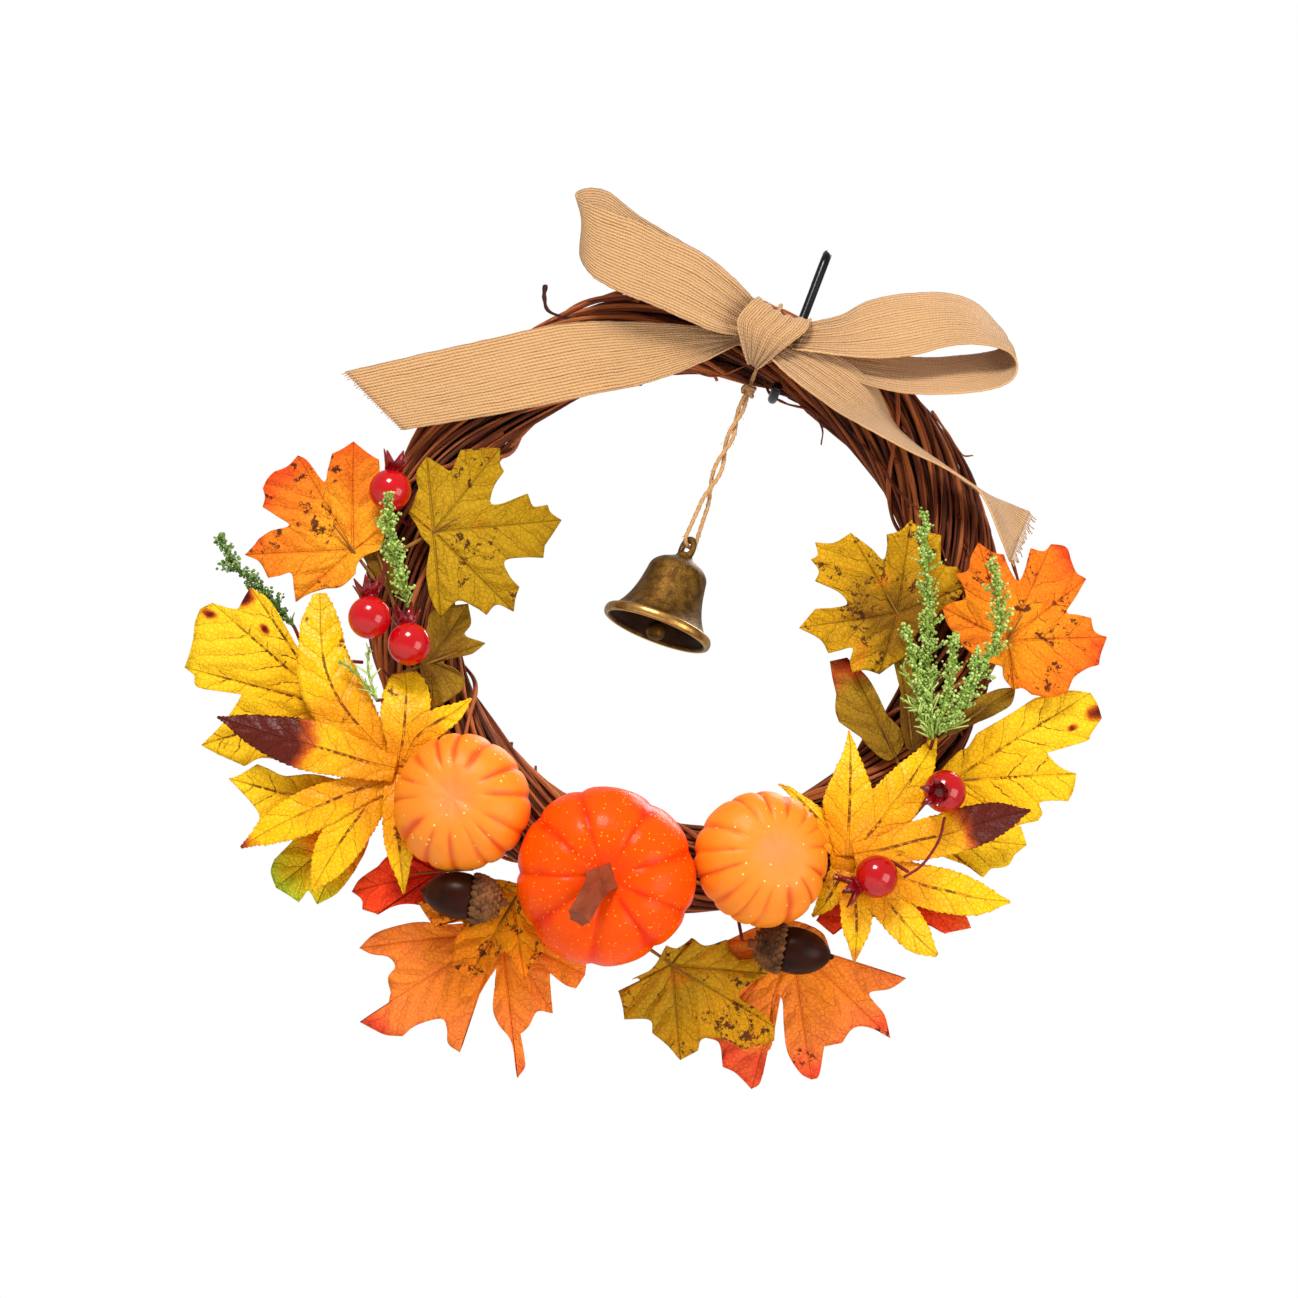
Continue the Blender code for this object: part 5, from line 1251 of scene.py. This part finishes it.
def turned(bm, profile, steps=48):
    """Spin (radius, height) points, in millimetres, round the upright axis."""
    before = set(bm.verts)
    tip = bmesh.ops.create_vert(bm, co=(profile[0][0] * 0.001, 0, profile[0][1] * 0.001))["vert"][0]
    for radius, height in profile[1:]:
        tip = bmesh.ops.extrude_vert_indiv(bm, verts=[tip])["verts"][0]
        tip.co = (radius * 0.001, 0, height * 0.001)
    line = [vert for vert in bm.verts if vert not in before]
    edges = list({edge for vert in line for edge in vert.link_edges})
    bmesh.ops.spin(bm, geom=line + edges, cent=(0, 0, 0), axis=(0, 0, 1), angle=math.tau,
                   steps=steps, use_merge=True)
    made = [vert for vert in bm.verts if vert not in before]
    bmesh.ops.remove_doubles(bm, verts=made, dist=1e-6)
    return [vert for vert in made if vert.is_valid]


def smooth_profile(profile, steps=5):
    return [(max(0.0, point.x), point.y) for point in curve_through(
        [(radius, height, 0) for radius, height in profile], steps)]


def pumpkin(name, centre, radius, half_depth, ribs, facing, material, groove, dimple, seed,
            smooth_centre):
    """A ball with ribs. Its grooves fade out towards the two ends, where smooth_centre says."""
    bm = bmesh.new()
    bmesh.ops.create_uvsphere(bm, u_segments=ribs * 10, v_segments=56, radius=1.0)
    grooves = bm.verts.layers.float.new("groove")
    poles = bm.verts.layers.float.new("pole")
    for vert in bm.verts:
        polar = math.acos(max(-1, min(1, vert.co.z)))
        around = math.atan2(vert.co.y, vert.co.x)
        wander = around + 0.09 * math.sin(2 * around + seed) + 0.045 * math.sin(5 * around + 2 * seed)
        pull = (1 - abs(math.sin(ribs * wander / 2)) ** 0.8) ** 1.9
        side = math.sin(polar)
        fade = max(0.0, min(1.0, (side - smooth_centre) / 0.35))
        fade = fade * fade * (3 - 2 * fade)
        out = radius * side**0.84 * (1 - groove * pull * fade)
        out *= 1 + 0.015 * math.sin(3 * around + seed)
        dip = math.exp(-(out / (0.34 * radius)) ** 2)
        up = half_depth * math.cos(polar) * (1 - 1.2 * groove * pull * fade)
        up -= math.copysign(dimple * dip, up)
        crease = math.sin(3 * around + 3 * seed) + 0.6 * math.sin(7 * around - seed)
        up += 0.22 * crease * math.exp(-((out / radius - 0.26) / 0.16) ** 2)
        vert.co = Vector((out * math.cos(around), out * math.sin(around), up)) * 0.001
        vert[grooves] = pull * fade
        vert[poles] = dip
    bmesh.ops.transform(bm, matrix=aimed(at(*centre), facing), verts=bm.verts)
    keep(bm, name, material, [name])


pumpkin("pumpkin_left", (-40.7, -36.2, -92.0), 20.8, 15.5, 14, (-0.22, -1, -0.12), pale_orange,
        groove=0.05, dimple=2.4, seed=1.3, smooth_centre=0.27)
pumpkin("pumpkin_right", (49.6, -36, -75.2), 20.6, 15.0, 15, (0.25, -1, 0.1), pale_orange,
        groove=0.05, dimple=1.8, seed=4.0, smooth_centre=0.32)
pumpkin("pumpkin_middle", (7.4, -37, -97.4), 27.0, 21.0, 9, (-0.02, -1, -0.18), deep_orange,
        groove=0.05, dimple=5.0, seed=0.4, smooth_centre=0.06)
stem = bmesh.new()
run = placed_curve(
    [(6.6, -50.0, -101.0), (6.2, -54.4, -103.6), (5.3, -59.4, -108.6), (4.2, -62.4, -115.5)], 5)
flare = [6.4, 6.2, 5.7, 5.1, 4.5, 4.0, 3.7, 3.45, 3.3, 3.2, 3.15, 3.1, 3.1, 3.15, 3.2, 3.25]
sweep(stem, run, lambda index, angle: 0.001 * flare[index] * (1 + 0.16 * math.cos(5 * angle)),
      sides=10)
stem_brown = grained("pumpkin stem", (146, 66, 36), (98, 34, 16), 260.0, 0.5, 0.0003, strength=0.6)
keep(stem, "pumpkin_stem", stem_brown, ["pumpkin_stem"]).data.shade_flat()

# %% [markdown]
# An acorn's nut is turned, glossy and dark. Its cap is a turned cup under rows of small overlapping
# scales. A scale is a flattened ball of only a few faces, repeated round the cup.

# %% Acorns
cap_finish = grained("acorn cap", (138, 88, 48), (26, 11, 4), 420.0, 0.7, 0.0006, strength=0.8)
nut_finish = grained("acorn nut", (58, 22, 6), (20, 7, 2), 130.0, 0.24, 0.0001, strength=0.8,
                     Specular_IOR_Level=0.09)
ACORNS = {"left": ((-25, -31.8, -116.4), (-1, 0.05, -0.22)),
          "right": ((62.8, -27.5, -97.6), (1, -0.02, 0.2))}
CUP = [
    (0, -8.2), (1.3, -8), (1.4, -6.2), (4.2, -5.0), (6.6, -2.6), (7.3, 0.2), (7.0, 2.4), (6.2, 2.4),
    (5, 2.2), (0, 2.0)]
NUT = [
    (0, 1.9), (4.5, 2.0), (6.4, 2.6), (7.1, 5.2), (7.0, 8.4), (6.0, 11.9), (4.2, 14.8), (2.1, 16.7),
    (1.0, 17.2), (0.8, 17.9), (0.3, 18.3), (0, 18.4)]
for side, (centre, direction) in ACORNS.items():
    chance = random.Random(side)
    place = aimed(at(*centre), direction)
    cap = bmesh.new()
    turned(cap, CUP, 40)
    for row in range(7):
        part = row / 6
        ring_r = 7.35 - 3.9 * (1 - part) ** 1.6
        height = -5.2 + 6.9 * part
        count = round(math.tau * ring_r / 2.15)
        for number in range(count):
            angle = math.tau * (number + 0.5 * (row % 2)) / count + chance.uniform(-0.05, 0.05)
            lie = Matrix.Rotation(angle, 4, "Z") @ Matrix.Translation(
                Vector((ring_r + chance.uniform(-0.1, 0.15), 0, height)) * 0.001)
            lie = lie @ Matrix.Rotation(-0.75 + 0.7 * part, 4, "Y")
            lie = lie @ Matrix.Diagonal((0.5, 1.05, 1.3, 1))
            bmesh.ops.create_icosphere(cap, subdivisions=1, radius=0.00112, matrix=lie)
    bmesh.ops.transform(cap, matrix=place, verts=cap.verts)
    keep(cap, f"acorn_cap_{side}", cap_finish, [f"acorn_cap_{side}"])
    nut = bmesh.new()
    turned(nut, smooth_profile(NUT, 4), 40)
    bmesh.ops.transform(nut, matrix=place, verts=nut.verts)
    keep(nut, f"acorn_nut_{side}", nut_finish, [f"acorn_nut_{side}"])

# %% [markdown]
# Berries are lacquered balls, each with a crown of pointed sepals of a darker red. A sepal is a
# slim cone that leans outwards. Two wrapped wires carry them.

# %% Berries
berry_finish = grained("lacquered berry", (196, 0, 10), (140, 0, 6), 60.0, 0.06, 0.00005, strength=0.5,
                       Specular_IOR_Level=0.5)
crown_finish = grained("berry crown", (140, 0, 14), (80, 0, 8), 300.0, 0.12, 0.0001, strength=0.6,
                       Specular_IOR_Level=0.5)
BERRY_RADIUS = 0.0065
BERRIES = {
    "left_1": ((-96.2, -27.4, -8.2), (-0.2, -0.15, 1)), "left_2": ((-87, -35, -49), (-0.45, 0.1, 1)),
    "left_3": ((-73, -33.5, -52), (-0.5, 0.5, 1)), "right_1": ((84, -34.5, -67.4), (-0.75, 0.05, -0.75)),
    "right_2": ((94.6, -34, -35.3), (-0.3, -1, -0.35))}
for name, (centre, direction) in BERRIES.items():
    chance = random.Random(name)
    place = aimed(at(*centre), direction)
    berry = bmesh.new()
    bmesh.ops.create_icosphere(berry, subdivisions=5, radius=BERRY_RADIUS, matrix=place)
    keep(berry, f"berry_{name}", berry_finish, [f"berry_{name}"])
    crown = bmesh.new()
    turned(crown, [(0, 5.6), (2.4, 5.7), (2.7, 6.6), (2.5, 7.6), (1.6, 7.9), (0, 7.4)], 20)
    for number in range(6):
        angle = math.tau * number / 6 + chance.uniform(-0.2, 0.2)
        lean = chance.uniform(0.4, 0.8)
        lie = Matrix.Rotation(angle, 4, "Z") @ Matrix.Translation((0.0019, 0, 0.0072))
        lie = lie @ Matrix.Rotation(lean, 4, "Y") @ Matrix.Diagonal((0.45, 1, 1, 1))
        lie = lie @ Matrix.Translation((0, 0, 0.0024))
        bmesh.ops.create_cone(crown, cap_ends=True, segments=10, radius1=0.0024, radius2=0.0003,
                              depth=0.0066 * chance.uniform(0.85, 1.15), matrix=lie)
    bmesh.ops.transform(crown, matrix=place, verts=crown.verts)
    keep(crown, f"berry_crown_{name}", crown_finish)
WIRES = {"left": [(-95.4, -24, -14.3), (-91.5, -21, -24), (-88.5, -22, -34), (-87.8, -29, -43)],
         "right": [(91.6, -36, -65), (95.4, -37.5, -59.6), (97.6, -37, -51), (97, -36.5, -43.2)]}
wire_finish = grained("wrapped wire", (130, 34, 36), (78, 22, 22), 600.0, 0.6, 0.0002)
for side, stops in WIRES.items():
    wire = bmesh.new()
    run = placed_curve(stops, 12)
    sweep(wire, run, lambda index, angle: 0.00045 + 0.00004 * math.sin(index * 1.7), sides=10)
    keep(wire, f"berry_wire_{side}", wire_finish, [f"berry_wire_{side}"])

# %% [markdown]
# Greenery sprigs are thin stems with short side twigs, crowded with tiny buds. Every bud is a small
# faceted ball with its own random tone, painted darker as shade the nearer it sits to the stem. The
# sprig set farthest back takes a darker copy of the green, which is painted shade. The sprigs taper
# to a point and end in bare needles below.

# %% Sprigs
greens, given = effect("bud green", {
    "Dark": tint(112, 146, 34), "Light": tint(206, 222, 130), "Roughness": 0.55})
fine = clouds(object_place(greens), 900.0, 2)
level = plus(attribute(greens, "tone"), times(fine, 0.4))
tone = mixed(step_between(level, 0.1, 1.2), given["Dark"], given["Light"])
put_out(tone, fine, plus(given["Roughness"], times(fine, 0.2)))
bud_finish = finish("sprig green", greens, {}, 0.0003)
# painted shade: a darker copy of the bud green, for the sprig set farthest back, behind the leaves
shaded_bud_finish = finish("sprig green in painted shade", greens, {
    "Dark": tint(60, 92, 28), "Light": tint(142, 168, 90)}, 0.0003)
# each sprig: its runs, the thickness of its twigs, and 1 where it takes the green with painted shade
SPRIGS = {
    "left": ([[(-95.4, -39, -12.3), (-90, -39, -24.6), (-83, -37, -33.4), (-77.6, -32, -41.3)]], 7.2, 0),
    "far_left": ([[(-141, -14, -37.5), (-133, -13.5, -45), (-123, -13, -48), (-109, -13, -56)]], 6.2, 1),
    "stalk_left": ([[(-91, -31, -64), (-84, -30, -66), (-76, -29.5, -71)],
                    [(-84, -32, -57), (-81.5, -31, -64), (-76, -29.5, -71)]], 2.6, 0),
    "right_1": ([[(59.5, -30, 45), (67, -31, 27), (75, -31, 5), (84, -30, -18)]], 6.8, 0),
    "right_2": ([[(83.9, -31, 39.2), (91.6, -33, 24), (93.5, -33, 10.5), (88.5, -31, -17.5)]], 6.2, 0),
    "right_bush": ([[(65.8, -33, 9), (77.5, -33, -8.2), (85, -31, -20)],
                    [(89.7, -34, 10.4), (90, -34, -6.8), (87, -31, -19)],
                    [(81.1, -35, 12.2), (84.8, -35, -5.7), (86, -31, -19)]], 5.2, 0),
    "right_needles": ([[(68.8, -32, -3), (76.7, -32, -10), (84, -30, -20)],
                       [(72, -34, -13), (79, -33, -15), (85, -30, -21)],
                       [(79, -35, -4), (82, -34, -12), (86, -31, -21)]], 2.6, 0)}


SPRIG_STEP = 0.9


def sprig_run(sprig, stops, thick, chance):
    """One stem with its side twigs and buds; a thin run carries bare needles instead of buds."""
    line = curve_through(stops, 12)
    line = evenly(line, round(run_length(line) / SPRIG_STEP))
    sweep(sprig, [at(*point) for point in line], lambda index, angle: 0.00032 + 0.000006 * index,
          sides=6, tone=0.15)
    own = sprig.verts.layers.float["tone"]
    phase = chance.uniform(0, math.tau)
    for index, point in enumerate(line[1:-1], 1):
        part = index / len(line)
        heading = (line[index - 1] - line[index + 1]).normalized()
        across = heading.cross(Vector((0, 1, 0))).normalized()
        clump = 0.82 + 0.34 * math.sin(index * 0.62 + phase)
        for _ in range(3 if thick > 3 else 1):
            angle = chance.uniform(0, math.tau)
            lean = (across * math.cos(angle) + heading.cross(across) * math.sin(angle)
                    + heading * chance.uniform(0.5, 1.4)).normalized()
            reach = thick * 0.8 * clump * min(1.0, 0.3 + part * 3.0) * chance.uniform(0.5, 1.2)
            if thick < 3 or part > 0.92:
                reach *= 2.2 if thick < 3 else 1.3
                twig = [at(*(point + lean * reach * share)) for share in (0.0, 0.5, 1.0)]
                sweep(sprig, twig, lambda index, angle: 0.0004 - 0.00012 * index, sides=5,
                      tone=chance.uniform(0.3, 0.8))
                continue
            twig = [at(*(point + lean * reach * share)) for share in (0.0, 0.9)]
            sweep(sprig, twig, 0.00018, sides=4, tone=0.3)
            for step in range(4):
                spot = point + lean * reach * (0.35 + 0.65 * step / 3) + Vector(
                    [chance.uniform(-0.6, 0.6) for _ in range(3)])
                size = chance.uniform(0.00034, 0.00062)
                made = bmesh.ops.create_icosphere(sprig, subdivisions=1, radius=size,
                                                  matrix=Matrix.Translation(at(*spot)))["verts"]
                # painted shade: buds nearer the stem, deep in the clump, are darker; the rest of the tone
                # is random
                bud_tone_with_shade = chance.uniform(0.1, 1.0) * (0.5 + 0.5 * step / 3)
                for vert in made:
                    vert[own] = bud_tone_with_shade


# dark picks the copy of the green with painted shade
for name, (runs, thick, dark) in SPRIGS.items():
    chance = random.Random(name)
    sprig = bmesh.new()
    for stops in runs:
        sprig_run(sprig, stops, thick, chance)
    nodes = [] if name in ("right_bush", "right_needles") else [f"sprig_{name}"]
    keep(sprig, f"sprig_{name}", shaded_bud_finish if dark else bud_finish, nodes)

# %% [markdown]
# Each trim stands on a short wrapped wire that is pushed into the vines behind it.

# %% Pick wires
PICKS = [
    [(-77.6, -32, -41.3), (-77.3, -22, -43), (-77, -9, -40)],
    [(-109, -13, -56), (-101, -10, -62), (-86, -4, -57)],
    [(-76, -29.5, -71), (-71, -19, -66), (-67, -8, -58)],
    [(84, -30, -18), (84.5, -20, -22), (84, -7, -20)],
    [(86, -31, -19), (87, -20, -24), (85, -6, -24)],
    [(92, -37, -63), (80, -20, -57), (70, -8, -50)],
    [(-14, -30, -113), (-10, -18, -102), (-8, -7, -92)],
    [(53, -27, -99), (48, -18, -88), (46, -8, -78)],
    [(-95.4, -24, -14.3), (-89, -14, -13), (-85, -6, -12)],
    [(-87.8, -29, -43), (-83, -18, -41), (-77, -7, -38)]]
picks = bmesh.new()
for stops in PICKS:
    sweep(picks, placed_curve(stops, 4), 0.00055, sides=8)
keep(picks, "pick_wires", wire_finish)

# %% [markdown]
# The bell is turned from one profile, outside and inside together, so that the wall has its real
# thickness. Its rolled rim carries a painted highlight, a brighter and glossier second finish on
# those faces, and its inside carries painted shade, a darker third finish. The eye for the twine is
# a closed ring on the crown, and under the crown a staple carries the clapper.

# %% Bell and clapper
RIM_Z, EYE_Z = -14.7, 14.0
BELL = [
    (0, 27.2), (1.8, 27.0), (2.5, 26.2), (3.1, 25.2), (4.6, 24.4), (7.2, 23.1), (9.2, 20.9), (9.8, 17.8),
    (10.6, 13.4), (12.0, 9.0), (13.9, 5.4), (15.6, 3.6), (16.4, 3.3), (17.2, 2.9), (17.6, 1.8),
    (17.4, 0.6), (16.7, 0.1), (15.8, 0.4), (15.2, 1.8), (13.4, 3.6), (11.2, 7.8), (9.7, 12.6),
    (8.8, 17.3), (8.2, 20), (6.8, 21.8), (4, 22.9), (0, 23)]
brass_body = grained("antique brass", (128, 90, 34), (76, 48, 14), 1900.0, 0.44, 0.0002, strength=0.9,
                     Metallic=0.75)
# painted highlight: a lighter, glossier brass for the rolled rim
brass_rim_highlight = grained("brass with painted rim highlight", (206, 156, 84), (140, 98, 44), 420.0, 0.22, 0.00008, strength=0.6,
                    Metallic=0.9)
# painted shade: a darker brass for the inside of the bell
brass_inside_shade = grained("brass inside, painted shade", (60, 38, 18), (30, 18, 8), 420.0, 0.6, 0.0001,
                       strength=0.6, Metallic=0.6)
bell = bmesh.new()
turned(bell, smooth_profile(BELL, 4), 96)
bmesh.ops.recalc_face_normals(bell, faces=bell.faces)
for face in bell.faces:
    middle = face.calc_center_median()
    # painted shade: the faces inside the bell get the darker inside finish
    if face.normal.dot(Vector((middle.x, middle.y, 0.004))) < 0 and middle.xy.length < 0.0155:
        face.material_index = 2
    # painted highlight: the faces of the rim bead get the bright finish
    if middle.z < 0.0033 and middle.xy.length > 0.0159:
        face.material_index = 1
bmesh.ops.translate(bell, verts=bell.verts, vec=at(TWINE_X, TWINE_Y, RIM_Z))


def upright_ring(count, across, half_height, middle_z):
    """A ring that stands across the swing: the bell's eye, and the clapper's own."""
    def place(a):
        reach = across * math.cos(a)
        return at(TWINE_X - reach * math.sin(SWING), TWINE_Y + reach * math.cos(SWING),
                  middle_z + half_height * math.sin(a))
    return ring_run(count, place)


def eye_thickness(index, angle):
    """The eye is thickest at its foot and a little thicker again at the top."""
    up = math.sin(math.tau * index / 40)
    return 0.0009 + 0.0007 * max(0.0, -up) ** 2 + 0.0003 * max(0.0, up) ** 2


sweep(bell, upright_ring(40, 2.4, 2.95, EYE_Z - 0.15), eye_thickness, sides=14, closed=True)
bell = keep(bell, "bell", brass_body, ["bell"], "bell")
bell.data.materials.append(brass_rim_highlight)
bell.data.materials.append(brass_inside_shade)
staple = bmesh.new()
run = [twine_point(2.0, RIM_Z + 22.2)]
run += [twine_point(2.0 * math.cos(math.pi * step / 12),
                    RIM_Z + 20.0 - 2.0 * math.sin(math.pi * step / 12)) for step in range(13)]
run += [twine_point(-2.0, RIM_Z + 22.2)]
sweep(staple, run, 0.0005, sides=10)
keep(staple, "clapper_staple", black_nickel, ["clapper_staple"], "bell")
clapper = bmesh.new()
turned(clapper, smooth_profile([
    (0, 0), (1.7, 0.4), (2.8, 1.6), (3.1, 3), (2.6, 4.6), (1.3, 5.8), (0.6, 6.8), (0.55, 12),
    (0.55, 18.5), (0, 18.7)], 4), 32)
bmesh.ops.translate(clapper, verts=clapper.verts, vec=at(TWINE_X, TWINE_Y, RIM_Z - 2.6))
sweep(clapper, upright_ring(24, 1.6, 1.6, RIM_Z + 17.7), 0.0005, sides=10, closed=True)
keep(clapper, "clapper", brass_body, ["clapper"], "clapper")
